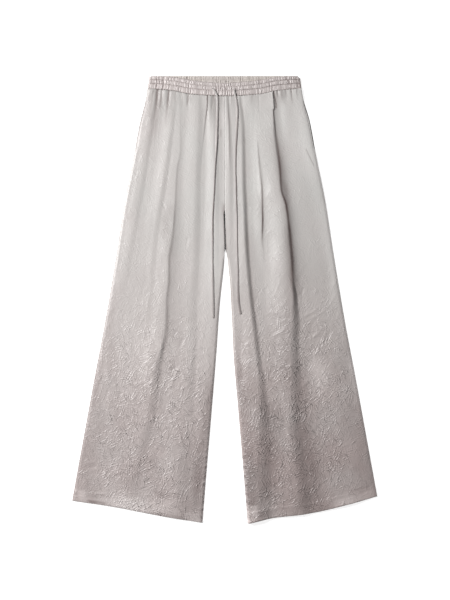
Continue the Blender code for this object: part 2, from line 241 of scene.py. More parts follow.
def makeToneGroup():
    # colour that drifts along the leg and in soft patches, with painted shade and painted highlights from
    # the Shade input
    white = (1, 1, 1, 1)
    group, start, end = newGroup(
        "satinTone",
        {"Vector": (0, 0, 0), "Upper": white, "Lower": white, "Patch": white, "Slub": 0.5, "Shade": 0.0},
        {"Color": "Color"},
    )
    node, calc = partial(addNode, group), partial(addMath, group)
    split = node("SeparateXYZ", {"Vector": start["Vector"]})
    legEnds = {"Value": split["Y"], "From Min": 0.30, "From Max": -0.42}
    drift = node("MapRange", legEnds, interpolation_type="SMOOTHSTEP")["Result"]
    blend = node("Mix", {"Factor": drift, "A": start["Upper"], "B": start["Lower"]}, data_type="RGBA")
    clouds = node("TexNoise", {"Vector": start["Vector"], "Scale": 9.0, "Detail": 3.0})["Fac"]
    cloudShare = node("MapRange", {"Value": clouds, "From Min": 0.42, "From Max": 0.68, "To Max": 0.55})
    patched = {"Factor": cloudShare["Result"], "A": blend["Result"], "B": start["Patch"]}
    patched = node("Mix", patched, data_type="RGBA")["Result"]
    flecks = {"Value": start["Slub"], "From Min": 0.3, "From Max": 0.7, "To Min": 0.94, "To Max": 1.04}
    fleck = node("MapRange", flecks)["Result"]
    shaded = node("VectorMath", {"Vector": patched, "Scale": fleck}, operation="SCALE")["Vector"]
    depth = {
        axis: calc("SUBTRACT", 1.0, calc("MULTIPLY", start["Shade"], share))
        for axis, share in (("X", 0.94), ("Y", 1.03), ("Z", 1.04))
    }
    darker = node("CombineXYZ", depth)["Vector"]  # painted shade, warmer where it is deeper; below zero it is a painted highlight
    toned = node("VectorMath", {0: shaded, 1: darker}, operation="MULTIPLY")["Vector"]
    group.links.new(toned, end["Color"])
    return group


crinkleGroup = makeCrinkleGroup()
weaveGroup = makeWeaveGroup()
toneGroup = makeToneGroup()


def makeCloth(name, look):
    material = bpy.data.materials.new(name)
    material.use_nodes = True
    tree = material.node_tree
    node = partial(addNode, tree)
    shader = tree.nodes["Principled BSDF"].inputs
    shader["Roughness"].default_value = look["roughness"]
    shader["Specular IOR Level"].default_value = look["shine"]
    shader["Sheen Weight"].default_value = look["sheen"]
    shader["Sheen Roughness"].default_value = 0.5
    place = {"Vector": node("TexCoord", {})["Object"]}
    weave = node("Group", {**place, "Threads": look["threads"]}, node_tree=weaveGroup)
    tones = {label: (*look[label.lower()], 1) for label in ("Upper", "Lower", "Patch")}
    if look["shaded"]:
        tones["Shade"] = node("Attribute", {}, attribute_name="shade")["Fac"]
    tone = node("Group", {**place, **tones, "Slub": weave["Slub"]}, node_tree=toneGroup)
    crinkles = {"Size": look["crinkleSize"], "Patchiness": look["patchiness"]}
    crinkle = node("Group", {**place, **crinkles}, node_tree=crinkleGroup)
    creased = node("Bump", {"Height": crinkle["Height"], "Distance": look["crinkleDepth"]})["Normal"]
    woven = node("Bump", {"Height": weave["Height"], "Distance": look["weaveDepth"], "Normal": creased})
    tree.links.new(tone["Color"], shader["Base Color"])
    tree.links.new(woven["Normal"], shader["Normal"])
    return material


satinLook = {
    "upper": (0.60, 0.575, 0.555),
    "lower": (0.54, 0.465, 0.45),
    "patch": (0.60, 0.55, 0.535),
    "roughness": 0.42,
    "shine": 0.8,
    "sheen": 0.15,
    "threads": 2600.0,
    "weaveDepth": 0.00004,
    "crinkleSize": 1.0,
    "crinkleDepth": 0.0012,
    "patchiness": 0.52,
    "shaded": False,
}
legLooks = {
    "right": {**satinLook, "shaded": True},
    # the wearer's left leg is darker low down: painted shade
    "left": {**satinLook, "shaded": True, "lower": (0.49, 0.405, 0.39), "crinkleDepth": 0.00134},
}
# the inside is duller in its own right, and its dark colour is painted shade for the unlit inside
insideLook = {**satinLook, "upper": (0.30, 0.27, 0.26), "lower": (0.28, 0.24, 0.23)}
insideLook.update(roughness=0.7, shine=0.2)
bandLook = {**satinLook, "shaded": True, "upper": (0.60, 0.535, 0.52)}
bandLook.update(crinkleSize=1.2, crinkleDepth=0.0007)
bandInsideLook = {**bandLook, "upper": (0.63, 0.575, 0.535), "roughness": 0.58, "shine": 0.35}
tieLook = {**satinLook, "shaded": True, "crinkleDepth": 0.0001}
tieLook.update(upper=(0.55, 0.515, 0.50), lower=(0.54, 0.48, 0.465))
pocketLook = {**satinLook, "upper": (0.56, 0.53, 0.505), "crinkleDepth": 0.0003}
pocketLook.update(roughness=0.75, shine=0.2)
# stitches: the threads are real, and their dark colour is painted shade of the grooves they lie in
stitchShadeLook = {**satinLook, "upper": (0.13, 0.10, 0.095), "lower": (0.34, 0.29, 0.28), "crinkleDepth": 0.0}
# near-black dashes: painted shadow in the gaps at the band and in the buttonholes
shadowLineLook = {**stitchShadeLook, "upper": (0.09, 0.07, 0.07), "lower": (0.2, 0.16, 0.155), "shine": 0.2}
shadeLook = {**satinLook, "shine": 0.0, "sheen": 0.0}
shadeLook.update(dict.fromkeys(("upper", "lower", "patch"), (0.004, 0.003, 0.003)))

satinOuter = makeCloth("satinOuter", satinLook)
legSatin = {side: makeCloth(f"legSatin_{side}", look) for side, look in legLooks.items()}
satinInner = makeCloth("satinInner", insideLook)
bandOuter = makeCloth("bandOuter", bandLook)
bandInner = makeCloth("bandInner", bandInsideLook)
tieSatin = makeCloth("tieSatin", tieLook)
# a darker copy of the tie's satin for its long edges: painted shade
tieEdgeShade = makeCloth("tieEdgeShade", {**tieLook, "upper": (0.3, 0.26, 0.25), "lower": (0.36, 0.31, 0.3)})
pocketCloth = makeCloth("pocketCloth", pocketLook)
stitchShade = makeCloth("stitchShade", stitchShadeLook)
paleStitchShade = makeCloth("paleStitchShade", {**stitchShadeLook, "upper": (0.33, 0.28, 0.27)})
shadowLineThread = makeCloth("shadowLineThread", shadowLineLook)
hemStitchShade = makeCloth("hemStitchShade", {**stitchShadeLook, "upper": (0.4, 0.35, 0.34), "lower": (0.4, 0.35, 0.34)})
slotShade = makeCloth("slotShade", shadeLook)


def addObject(name, mesh):
    obj = bpy.data.objects.new(name, mesh)
    bpy.context.collection.objects.link(obj)
    mesh.shade_smooth()
    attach(obj, "root")
    return obj


def shellMesh(name, top, underOf, outer, inner, topOutward=True, skip=2):
    # closes a grid of points and a coarser one under it into one thin shell
    rows, columns = top.shape[0] - 1, top.shape[1] - 1
    bottom = underOf[::skip, ::skip]
    lowRows, lowColumns = bottom.shape[0] - 1, bottom.shape[1] - 1
    verts = np.concatenate([top.reshape(-1, 3), bottom.reshape(-1, 3)])
    layer = top.shape[0] * top.shape[1]

    def quadsOf(rowCount, columnCount, first):
        i, j = np.meshgrid(np.arange(rowCount), np.arange(columnCount), indexing="ij")
        a = (i * (columnCount + 1) + j).ravel() + first
        return np.stack([a, a + columnCount + 1, a + columnCount + 2, a + 1], 1)

    quads = quadsOf(rows, columns, 0)
    under = quadsOf(lowRows, lowColumns, layer)[:, ::-1]

    def upper(i, j):
        return i * (columns + 1) + j

    def lower(i, j):
        return layer + i * (lowColumns + 1) + j

    rim = []
    for k in range(lowColumns):
        first = [upper(0, k * skip + m) for m in range(skip + 1)]
        last = [upper(rows, k * skip + m) for m in range(skip + 1)]
        rim.append([*first, lower(0, k + 1), lower(0, k)])
        rim.append([*last[::-1], lower(lowRows, k), lower(lowRows, k + 1)])
    for k in range(lowRows):
        first = [upper(k * skip + m, 0) for m in range(skip + 1)]
        last = [upper(k * skip + m, columns) for m in range(skip + 1)]
        rim.append([*first[::-1], lower(k, 0), lower(k + 1, 0)])
        rim.append([*last, lower(k + 1, lowColumns), lower(k, lowColumns)])
    faces = [quads, under, np.array(rim)]
    if not topOutward:
        faces = [part[:, ::-1] for part in faces]
    sizes = np.concatenate([np.full(len(part), part.shape[1]) for part in faces])
    corners = np.concatenate([part.ravel() for part in faces])
    mesh = bpy.data.meshes.new(name)
    mesh.vertices.add(len(verts))
    mesh.vertices.foreach_set("co", verts.astype(np.float32).ravel())
    mesh.loops.add(len(corners))
    mesh.loops.foreach_set("vertex_index", corners.astype(np.int32))
    mesh.polygons.add(len(sizes))
    starts = np.concatenate([[0], np.cumsum(sizes)[:-1]])
    mesh.polygons.foreach_set("loop_start", starts.astype(np.int32))
    slots = np.zeros(len(sizes), np.int32)
    slots[len(quads) : len(quads) + len(under)] = 1
    mesh.materials.append(outer)
    mesh.materials.append(inner)
    mesh.polygons.foreach_set("material_index", slots)
    mesh.update(calc_edges=True)
    mesh.validate()
    return mesh


def storeShade(mesh, *parts):
    # painted shade at each point for its material, and painted highlights where it is below zero
    tones = np.zeros(len(mesh.vertices), np.float32)
    flat = np.concatenate([part.ravel() for part in parts])
    tones[: len(flat)] = flat
    mesh.attributes.new("shade", "FLOAT", "POINT").data.foreach_set("value", tones)


def lowest(values, reach):
    # smallest value around each grid point
    padded = np.pad(values, reach, mode="edge")
    rows, columns = values.shape
    shifts = [(a, b) for a in range(2 * reach + 1) for b in range(2 * reach + 1)]
    return np.min([padded[a : a + rows, b : b + columns] for a, b in shifts], axis=0)


print("cloth shapes")
clothSettings = {
    "leftInset": 2.6 * mm,  # the wearer's left is a little narrower at the waist
    "wall": 1.2 * mm,  # thickness of the solids
    "gap": 0.3 * mm,
    "cloth": 0.45 * mm,  # thickness of the cloth that shows
    "air": 1.6 * mm,
    "edgeSoftness": 26 * mm,
    "innerSoftness": 6 * mm,
    "edgeRound": 4 * mm,
    "edgeDrop": 0.9 * mm,
    "hemDepth": 25 * mm,
    "hemStep": 0.7 * mm,
    "pocketRoom": 1.5 * mm,
    "frontCrotch": 98 * mm,
    "backCrotch": 115 * mm,
    "backSeam": 499.5 * mm,  # where the back panels meet the band
}
foldLevels = (476, 286, 143, -14, -190, -440)
foldSpread = (0.8, 1.0, 1.1, 1.3, 1.6, 1.9)
# name: crest along the levels, height along the levels, left flank, right flank, how crisp it is
frontFolds = {
    "outer right hip": ((-170, -200, -226, -254, -278, -297), (0.8, 1.2, 0.8, 0.3, 0, 0), 20, 13, 0.4),
    "right side ridge": ((-123, -150, -174, -188, -202, -226), (1, 1.6, 1.2, 0.5, 0, 0), 24, 14, 0.4),
    "right inner ridge": ((-64, -74, -78, -89, -97, -118), (1.2, 2.2, 2.4, 2.2, 3.2, 3), 30, 18, 0.4),
    "right pleat": ((-31, -29, -31, -37, -45, -66), (1.5, 2.2, 2, 2, 1.6, 1), 20, 16, 0.4),
    "centre fold": ((3, 8, 8, 8, 8, 8), (1.4, 1.6, 0.6, 0, 0, 0), 16, 12, 0.3),
    "left shin slope": ((50, 55, 60, 58, 52, 58), (0, 0, 0, 0.4, 3, 4.5), 12, 36, 0.2),
    "left shin swell": ((190, 205, 220, 235, 255, 292), (0, 0, 0, 0.5, 2, 4), 48, 34, 0),
}
# Pressed folds that end in a sharp drop: height along the leg, place of the drop, height of the fold,
# width of the drop's curve, and how soft the drop's top is; then the long left flank, all in millimetres
frontDrops = {
    "right long fold": (((476, -108, 0.5, 8, 3), (404, -107, 1.6, 8, 2), (357, -107, 1.8, 8, 2),
        (310, -115, 2.4, 8, 1.5), (238, -119, 3, 8, 1.5), (191, -122, 3.8, 8, 1.5), (143, -127, 4.2, 9, 3),
        (96, -134.5, 4.6, 9, 1.5), (48, -135, 4.8, 9, 1.5), (0, -140, 4.6, 9, 2), (-47, -141, 4.8, 10, 2),
        (-100, -146, 4.6, 12, 4), (-150, -156, 4.4, 14, 9), (-190, -163, 4, 16, 12),
        (-260, -172, 3.2, 20, 13), (-440, -215, 2.2, 30, 14)), 46),
    "left inner fold": (((476, 36, 1.6, 7, 4), (404, 43, 3, 8, 5), (286, 45, 4.2, 9, 6),
        (214, 48, 5.2, 9, 6), (143, 51, 5.8, 9, 6), (72, 56, 5.2, 9, 6), (0, 63, 5.4, 10, 6),
        (-71, 72, 5.2, 11, 7), (-142, 80, 5.4, 13, 8), (-213, 89, 6, 18, 12), (-284, 92, 6.4, 22, 16),
        (-427, 93, 6.4, 26, 18), (-500, 98, 5.5, 26, 18)), 44),
    "centre seam": (((488, 6.4, 0.7, 2, 1), (452, 8, 0.7, 2, 1), (423, 9.6, 0.7, 2, 1),
        (390, 10.8, 0.7, 2, 1), (357, 11, 0.6, 2, 1), (326, 11.6, 0.2, 2, 1), (300, 12, 0, 2, 1)), 9),
    "left thin fold": (((390, 76, 0, 2, 1), (357, 78, 0.8, 2, 1), (286, 86, 1.4, 2, 1),
        (214, 88.5, 1.8, 2, 1), (178, 88.8, 2, 2, 1), (150, 88, 1.2, 2, 1), (130, 88, 0.4, 3, 1),
        (90, 92, 0, 3, 1)), 20),
    "left pleat": (((490, 113, 2, 6, 1), (452, 114.5, 3.6, 7, 1), (404, 114.5, 4.6, 8, 1.2),
        (357, 121, 5.4, 10, 1.2), (310, 127.5, 7.2, 12, 1.2), (262, 132, 8.6, 12, 1.2),
        (226, 142.5, 9.4, 12, 1.2), (191, 147.5, 10, 12, 1.2), (143, 151, 10, 12, 1.5),
        (96, 156, 10, 12, 1.5), (48, 161, 9, 13, 3.5), (0, 167, 8.4, 13, 7), (-47, 168, 7.8, 14, 11),
        (-94, 166, 7.2, 16, 12), (-166, 167, 7, 18, 15), (-237, 167, 6.6, 20, 17), (-284, 166, 6.4, 20, 17),
        (-356, 174, 6.4, 22, 17), (-427, 184, 6.4, 22, 17), (-500, 195, 6, 22, 17)), 54),
}
backFolds = {
    "right back ridge": ((-96, -112, -124, -140, -160, -190), (0.8, 1.2, 1.2, 1, 0.8, 0.6), 30, 30, 0.2),
    "right seat fold": ((-40, -46, -50, -62, -78, -96), (0.8, 1.2, 1, 0.8, 0.6, 0), 26, 26, 0.2),
    "left back ridge": ((104, 118, 132, 150, 172, 205), (0.8, 1.3, 1.2, 1, 0.8, 0.6), 30, 30, 0.2),
    "left seat fold": ((44, 50, 54, 66, 82, 100), (0.8, 1.1, 1, 0.8, 0.5, 0), 26, 26, 0.2),
}


def flankSpread(y):
    # the flanks of a fold widen down the leg
    return np.interp(y / mm, np.array(foldLevels[::-1], float), foldSpread[::-1])


def foldHeight(folds, x, y):
    # the left flank is a long ramp, and the right one drops to a crisp foot
    spread = flankSpread(y)
    total = np.zeros_like(x)
    for crest, height, left, right, crisp in folds.values():
        tall = readTable(tuple(zip(foldLevels, height)), y / mm)
        shift = 0.3 * crisp * right * spread
        away = x / mm - readTable(tuple(zip(foldLevels, crest)), y / mm) - shift
        t = np.clip(np.abs(away) / np.where(away < 0, left * spread + shift, right * spread - shift), 0, 1)
        soft = (1 - t * t) ** 2
        ramp = 0.6 * (1 - t) + 0.4 * (1 - t) ** 2 * (1 + 2 * t)
        drop = np.cos(pi / 2 * t) * (1 - 0.2 * t)
        share = min(1, crisp)
        total += tall * (soft * (1 - share) + np.where(away < 0, ramp, drop) * share)
    return total * mm


def readPath(rows, column, y):
    return readTable(tuple((row[0], row[column]) for row in rows), np.clip(y, rows[-1][0], rows[0][0]))


def dropHeight(drops, x, y):
    total = np.zeros_like(x)
    spread = flankSpread(y)
    for rows, left in drops.values():
        place, tall, curve, soft = (readPath(rows, k, y / mm) for k in (1, 2, 3, 4))
        away = x / mm - place
        t = np.clip(-away / (left * spread), 0, 1)
        ramp = 0.5 * (1 - t) + 0.5 * (1 - t) ** 2 * (1 + 2 * t)
        shoulder = 0.16 * np.exp(np.minimum(away, 0) / (0.25 * left))
        fallen = np.exp(-np.maximum(away, 0) / curve)
        sharp = np.where(away < 0, ramp - shoulder, 0.84 * fallen)
        gentle = ramp * (1 - smoothStep(-soft, soft, away))
        share = smoothStep(2.5, 6, soft)
        total += tall * (sharp * (1 - share) + gentle * share)
    return total * mm


# Creases pressed into the cloth, listed one by one: start, end, width and height in millimetres
frontCreases = (
    ((-105, -156), (-131, -211), 5, 0.9), ((-131, -168), (-114, -156), 5, -0.8), ((-107, -156),
    (-88, -197), 5, 0.7), ((-97, -90), (-109, -121), 5, -0.8), ((-238, -102), (-223, -140), 5, -0.6),
    ((-228, -199), (-190, -192), 5, 0.6), ((-285, -230), (-278, -214), 5, -0.6), ((-256, -235),
    (-246, -218), 6, -0.8), ((-250, -316), (-241, -331), 6, -0.9), ((-241, -331), (-234, -326), 6, 0.9),
    ((-267, -418), (-246, -415), 6, -0.8), ((-258, -411), (-246, -406), 6, 0.7), ((-188, -406),
    (-169, -401), 6, -0.9), ((-166, -348), (-159, -352), 6, 1), ((-147, -304), (-138, -299), 5, 0.8),
    ((-169, -282), (-152, -280), 5, -0.8), ((-333, -396), (-304, -394), 6, -0.8), ((-331, -384),
    (-300, -383), 6, 0.7), ((-338, -457), (-267, -457), 6, 0.6), ((-335, -466), (-271, -469), 6, -0.5),
    ((-150, 238), (-139, 214), 5, -0.5), ((-86, 150), (-92, 128), 5, -0.4), ((185, -39),
    (226, -14), 6, 0.9), ((192, -51), (245, -15), 6, 1), ((188, -55), (236, -22), 5, -0.7), ((207, -88),
    (226, -74), 6, 1.1), ((226, -69), (245, -56), 6, 0.8), ((219, 27), (212, 8), 5, 0.7), ((188, 41),
    (183, -11), 6, -0.6), ((120, -144), (143, -159), 6, 1.1), ((143, -159), (162, -152), 6, 1.1),
    ((89, -161), (118, -168), 5, 0.7), ((106, -113), (118, -130), 6, 0.8), ((115, -104),
    (130, -128), 5, -0.7), ((110, -87), (151, -60), 6, 0.9), ((110, -41), (165, -39), 6, -0.7), ((104, -27),
    (132, -30), 6, 0.8), ((235, -106), (250, -70), 6, -0.8), ((209, -132), (226, -113), 6, 0.8),
    ((231, -164), (252, -192), 6, 0.9), ((183, -206), (200, -185), 7, 1.1), ((181, -209),
    (202, -211), 6, -0.8), ((266, -355), (292, -367), 6, 0.8), ((296, -392), (313, -404), 6, 0.8),
    ((66, -430), (108, -454), 6, 0.8), ((146, -300), (158, -330), 6, 0.7), ((206, -262),
    (196, -300), 6, 0.7), ((232, -290), (214, -318), 6, -0.6),
)
backCreases = (
    ((-110, -120), (-150, -190), 7, 0.8), ((-190, -40), (-160, -95), 6, 0.7), ((-230, -210),
    (-190, -250), 7, 0.8), ((-100, -300), (-130, -345), 6, 0.7), ((-260, -360), (-210, -340), 6, 0.7),
    ((-160, -420), (-120, -400), 6, 0.6), ((90, -90), (135, -150), 7, 0.8), ((170, -60),
    (210, -20), 6, 0.7), ((120, -250), (165, -215), 7, 0.8), ((220, -180), (250, -240), 6, 0.7),
    ((280, -300), (240, -340), 6, 0.7), ((100, -400), (150, -430), 6, 0.7), ((-70, 180),
    (-40, 130), 6, 0.5), ((60, 190), (95, 150), 6, 0.5),
)


# Scattered creases by area. For each: from and to height along the leg, how many in a square metre,
# shortest and longest, width and height, usual direction in degrees and how far it strays
crushedAreas = {
    "right": ((500, 250, 300, 10, 26, 1.9, 0.12, 75, 40), (270, 30, 600, 10, 26, 1.9, 0.18, 60, 50),
        (40, -120, 1500, 10, 30, 1.9, 0.32, 55, 40), (-90, -300, 2600, 10, 34, 1.8, 0.5, 52, 30),
        (-90, -330, 1500, 9, 26, 1.8, 0.45, 125, 35), (-300, -500, 2400, 10, 30, 1.8, 0.5, 50, 50),
        (-300, -500, 1600, 9, 26, 1.8, 0.45, 130, 40)),
    "left": ((500, 250, 300, 10, 26, 1.9, 0.12, 75, 40), (270, 30, 900, 16, 55, 2, 0.26, 66, 14),
        (60, -120, 1500, 14, 55, 1.9, 0.42, 58, 20), (-60, -300, 2600, 10, 36, 1.8, 0.52, 52, 30),
        (-90, -330, 1500, 9, 30, 1.8, 0.46, 140, 30), (-300, -500, 2400, 10, 30, 1.8, 0.5, 48, 45),
        (-300, -500, 1600, 9, 26, 1.8, 0.45, 130, 40)),
}
mapStep = 1.0  # millimetres
mapCorner = (-385.0, -560.0)
mapShape = (1100, 770)


def stampCrease(field, start, end, width, height, bow):
    # adds one soft thin ridge, or a groove where the height is negative
    (x0, y0), (x1, y1) = start, end
    reach = 3 * width + abs(bow)
    left = max(0, int((min(x0, x1) - reach - mapCorner[0]) / mapStep))
    right = min(mapShape[1], int((max(x0, x1) + reach - mapCorner[0]) / mapStep) + 1)
    low = max(0, int((min(y0, y1) - reach - mapCorner[1]) / mapStep))
    high = min(mapShape[0], int((max(y0, y1) + reach - mapCorner[1]) / mapStep) + 1)
    if right <= left or high <= low:
        return
    px = mapCorner[0] + mapStep * np.arange(left, right)[None, :] - x0
    py = mapCorner[1] + mapStep * np.arange(low, high)[:, None] - y0
    dx, dy = x1 - x0, y1 - y0
    length = np.hypot(dx, dy)
    t = (px * dx + py * dy) / (length * length)
    off = (px * dy - py * dx) / length - bow * np.sin(pi * np.clip(t, 0, 1))
    taper = smoothStep(-0.1, 0.3, t) * (1 - smoothStep(0.6, 1.1, t))
    field[low:high, left:right] += height * taper * np.exp(-((np.abs(off) / width) ** 1.4))


def makeCreaseMap(placed, areas, seed):
    field = np.zeros(mapShape)
    rng = np.random.default_rng(seed)
    for start, end, width, height in placed:
        bow = 0.05 * np.hypot(end[0] - start[0], end[1] - start[1])
        stampCrease(field, start, end, 0.5 * width, height, bow)
    for side, rows in areas.items():
        for top, bottom, density, shortest, longest, width, height, turn, stray in rows:
            count = int(density * (top - bottom) * mm * 0.3)
            for _ in range(count):
                y = rng.uniform(bottom, top)
                x = rng.uniform(0, 1) * readTable(outerEdge, y)
                edge = min(y - bottom, top - y) / (0.25 * (top - bottom))
                angle = np.radians(turn + rng.uniform(-1, 1) * stray)
                half = 0.5 * rng.uniform(shortest, longest)
                step = np.array([cos(angle), sin(angle)]) * half
                middle = np.array([sides[side] * x, y])
                size = 0.8 * height * rng.uniform(0.3, 1.25) * min(1, 0.3 + edge) * rng.choice((1, 1, -0.8))
                bow = rng.uniform(-0.06, 0.06) * 2 * half
                stampCrease(field, middle - step, middle + step, width * rng.uniform(0.75, 1.3), size, bow)
    return field


def readMap(field, x, y):
    column = np.clip((x / mm - mapCorner[0]) / mapStep, 0, mapShape[1] - 1.001)
    row = np.clip((y / mm - mapCorner[1]) / mapStep, 0, mapShape[0] - 1.001)
    j, i = column.astype(int), row.astype(int)
    fx, fy = column - j, row - i
    low = field[i, j] * (1 - fx) + field[i, j + 1] * fx
    high = field[i + 1, j] * (1 - fx) + field[i + 1, j + 1] * fx
    return (low * (1 - fy) + high * fy) * mm


swellAlongLeg = (
    (520, 0.15), (400, 0.2), (240, 0.3), (60, 0.5), (-60, 0.8), (-200, 1), (-420, 1), (-500, 0.7),
)


def clothSwell(x, y, seed):
    # soft uneven swells between the creases
    strength = readTable(swellAlongLeg, y / mm)
    wide = 0.9 * gradientNoise(x / 0.045, y / 0.07, seed + 3)
    close = 0.3 * gradientNoise(x / 0.014 + y / 0.03, y / 0.022 - x / 0.05, seed + 4)
    return strength * (wide + close) * mm


frontCreaseMap = makeCreaseMap(frontCreases, crushedAreas, 41)
backCreaseMap = makeCreaseMap(backCreases, crushedAreas, 42)


def edgeEase(x, y, innerTables, crotch):
    # how far the cloth is free to rise between its edges, and how near the nearest edge is
    innerTable = innerTables["left" if np.mean(x) > 0 else "right"]
    toOuter = readTable(outerEdge, y / mm) * mm - np.abs(x)
    toInner = np.abs(x) - readTable(innerTable, y / mm) * mm + 0.6 * np.maximum(0, y - crotch)
    outer = np.clip(toOuter / clothSettings["edgeSoftness"], 0, 1)
    inner = np.clip(toInner / clothSettings["innerSoftness"], 0, 1)
    inside = (1 - (1 - outer) ** 2.6) * (1 - (1 - inner) ** 2.6)
    near = np.minimum(toOuter, toInner)
    return inside, near


def backRise(x, y):
    folds = foldHeight(backFolds, x, y) * smoothStep(0, 70 * mm, 214 * mm - y)
    return folds * edgeEase(x, y, backInner, clothSettings["backCrotch"])[0]


def pocketRoom(x, y):
    fromSide = readTable(outerEdge, y / mm) * mm - np.abs(x)
    across = 1 - smoothStep(120 * mm, 168 * mm, fromSide)
    return clothSettings["pocketRoom"] * across * smoothStep(130 * mm, 235 * mm, y)


def bandSeam(x):
    return readTable(bandSeamEdge, np.abs(x) / mm) * mm


def bandTop(x):
    return readTable(bandTopEdge, np.abs(x) / mm) * mm


# Gathers that hang from the waistband: place at the band, place at the foot, length, width, height
frontGathers = (
    (-158, -171, 100, 6, -1.1), (-152, -159, 90, 6, 0.5), (-149, -153, 45, 2.6, -0.6),
    (-142.6, -143.6, 50, 5, 0.7), (-133, -135.5, 60, 4, -0.9), (-126, -127, 35, 4, 0.2),
    (-117.5, -118, 30, 2.6, -0.4), (-112, -114, 60, 6, 0.4), (-104, -104, 40, 3.4, -0.4),
    (-96, -97, 35, 4.4, 0.5), (-88, -87, 45, 3.4, -0.8), (-74, -74, 70, 11, 0.4), (-56, -57, 80, 5, -0.5),
    (-37, -37, 120, 5, 0.9), (-28, -33, 45, 2.6, -1), (-6, -7, 40, 2.6, -0.5), (-0.5, -1, 90, 5, 0.3),
    (8, 12, 100, 3.4, -0.6), (16.6, 18, 70, 4.4, 0.4), (39, 45, 110, 5, -0.8), (59, 62, 60, 10, 0.5),
    (81, 81, 50, 2.4, -0.4), (125, 127, 20, 2.4, -1), (121.5, 122, 16, 2.2, 0.5), (133, 135.5, 60, 7, 0.5),
    (145, 147, 55, 5, -0.6), (157, 159, 26, 2.6, -0.7), (167.5, 171, 36, 4.4, 0.4),
    (-166, -176, 30, 2.6, -0.5), (28, 29, 30, 2.4, -0.5),
)
# Pleat lips, where the cloth on the left lies over the right: height along the leg, place, step
pleatLips = (
    ((488, -41.8, 1.5), (461, -41.8, 1.6), (444, -44.2, 1.3), (336, -57, 0.2)), ((500, 113, 3),
    (475, 115, 3.2), (453.6, 117.2, 2.6), (450.6, 114.6, 1.6), (420, 117.4, 2.2), (375, 121.5, 0.6)),
)
gatherSettings = {"finePitch": 6.05 * mm, "fineHeight": 0.4 * mm, "fineFall": 6 * mm, "lipReach": 15 * mm}


def gatherHeight(x, y, below):
    total = np.zeros_like(x)
    for high, low, length, width, height in frontGathers:
        share = np.clip(below / mm / length, 0, 1)
        off = x / mm - (high + (low - high) * share)
        total += height * np.exp(-((off / width) ** 2)) * (1 - share * share) ** 2
    for lip in pleatLips:
        ys = np.array([row[0] for row in lip])[::-1]
        place = np.interp(y / mm, ys, np.array([row[1] for row in lip])[::-1])
        step = np.interp(y / mm, [ys[0] - 40, *ys], [0, *np.array([row[2] for row in lip])[::-1]])
        off = x / mm - place
        ramp = np.exp(np.minimum(off, 0) / (gatherSettings["lipReach"] / mm))
        total += step * ramp * (1 - smoothStep(-0.9, 0.9, off))
    narrow = x / gatherSettings["finePitch"] + 0.25 * np.sin(x / mm / 7) + 0.1 * np.sin(x / mm / 2.3)
    fine = gatherSettings["fineHeight"] * np.abs(np.sin(pi * narrow)) * (0.7 + 0.3 * np.sin(x / mm / 5))
    return total * mm + fine * np.exp(-below / gatherSettings["fineFall"])


def puckerHeight(near, y):
    # the inseam pulls in small beads above the hem
    low = smoothStep(-300 * mm, -380 * mm, y)
    beads = np.sin(2 * pi * y / (14.2 * mm) + 1.5 * np.sin(y / mm / 31))
    return 0.9 * mm * low * beads * np.exp(-np.maximum(near, 0) / (6 * mm))


def frontTop(x, y, aboveHem):
    # height of the outer face of the front
    below = np.maximum(0, bandSeam(x) - y)
    inside, near = edgeEase(x, y, frontInner, clothSettings["frontCrotch"])  # crisp edges at the crotch
    base = 2 * clothSettings["wall"] + clothSettings["gap"]
    toBand = (3.0 - 1.2) * mm * (1 - smoothStep(0, 70 * mm, below))
    folds = foldHeight(frontFolds, x, y) * (0.35 + 0.65 * smoothStep(0, 50 * mm, below))
    folds = folds + dropHeight(frontDrops, x, y) * (0.5 + 0.5 * smoothStep(0, 40 * mm, below))
    z = base + toBand + pocketRoom(x, y) + backRise(x, y)
    z = z + (clothSettings["air"] + folds + gatherHeight(x, y, below)) * inside
    calm = smoothStep(0, 10 * mm, near)
    z = z + (clothSwell(x, y, 20) + 1.1 * readMap(frontCreaseMap, x, y)) * (0.25 + 0.75 * calm)
    toStep = aboveHem - clothSettings["hemDepth"]
    z = z + clothSettings["hemStep"] * (1 - smoothStep(-1.2 * mm, 1.2 * mm, toStep))
    roundDown = 1 - smoothStep(0, clothSettings["edgeRound"], np.minimum(near, aboveHem + 1.5 * mm))
    toSeam = np.abs(x) - readTable(frontInner["left" if np.mean(x) > 0 else "right"], y / mm) * mm
    inseamPucker = puckerHeight(toSeam, y) * smoothStep(230 * mm, 215 * mm, y)
    neckDip = 1.5 * mm * np.exp(-below / (1.5 * mm))
    return z - clothSettings["edgeDrop"] * roundDown + inseamPucker - neckDip


def legGrid(side, panel, topOf, innerTable):
    # points of a leg panel on the floor, rows from waist to hem, and their distance from the hem
    columns, rows = panelSettings[panel]
    u = np.linspace(0, 1, columns + 1)
    share = np.linspace(0, 1, rows + 1)
    topX = readTable(outerEdge, 500.0) * mm * u
    hemY = np.full(columns + 1, -500 * mm)
    seamHalf = clothSettings["gap"] / 2
    for _ in range(5):
        inner = np.maximum(0, readTable(innerTable, hemY / mm) - 0.8) * mm + seamHalf
        hemX = inner * (1 - u) + (readTable(outerEdge, hemY / mm) + 1.3) * mm * u
        hemY = readTable(hemEdge[side], hemX / mm) * mm
    topY = topOf(topX) - clothSettings["gap"]
    y = topY[None, :] + (hemY - topY)[None, :] * share[:, None]
    inner = np.maximum(0, readTable(innerTable, y / mm) - 0.8) * mm + seamHalf
    inner = inner + 0.8 * mm * smoothStep(60 * mm, 110 * mm, y) * (inner > seamHalf)
    x = inner * (1 - u) + (readTable(outerEdge, y / mm) + 1.3) * mm * u  # the seam stands out a little
    if side == "left":
        x = x - clothSettings["leftInset"] * u * smoothStep(430 * mm, 495 * mm, y)
    return x * sides[side], y, y - hemY[None, :]
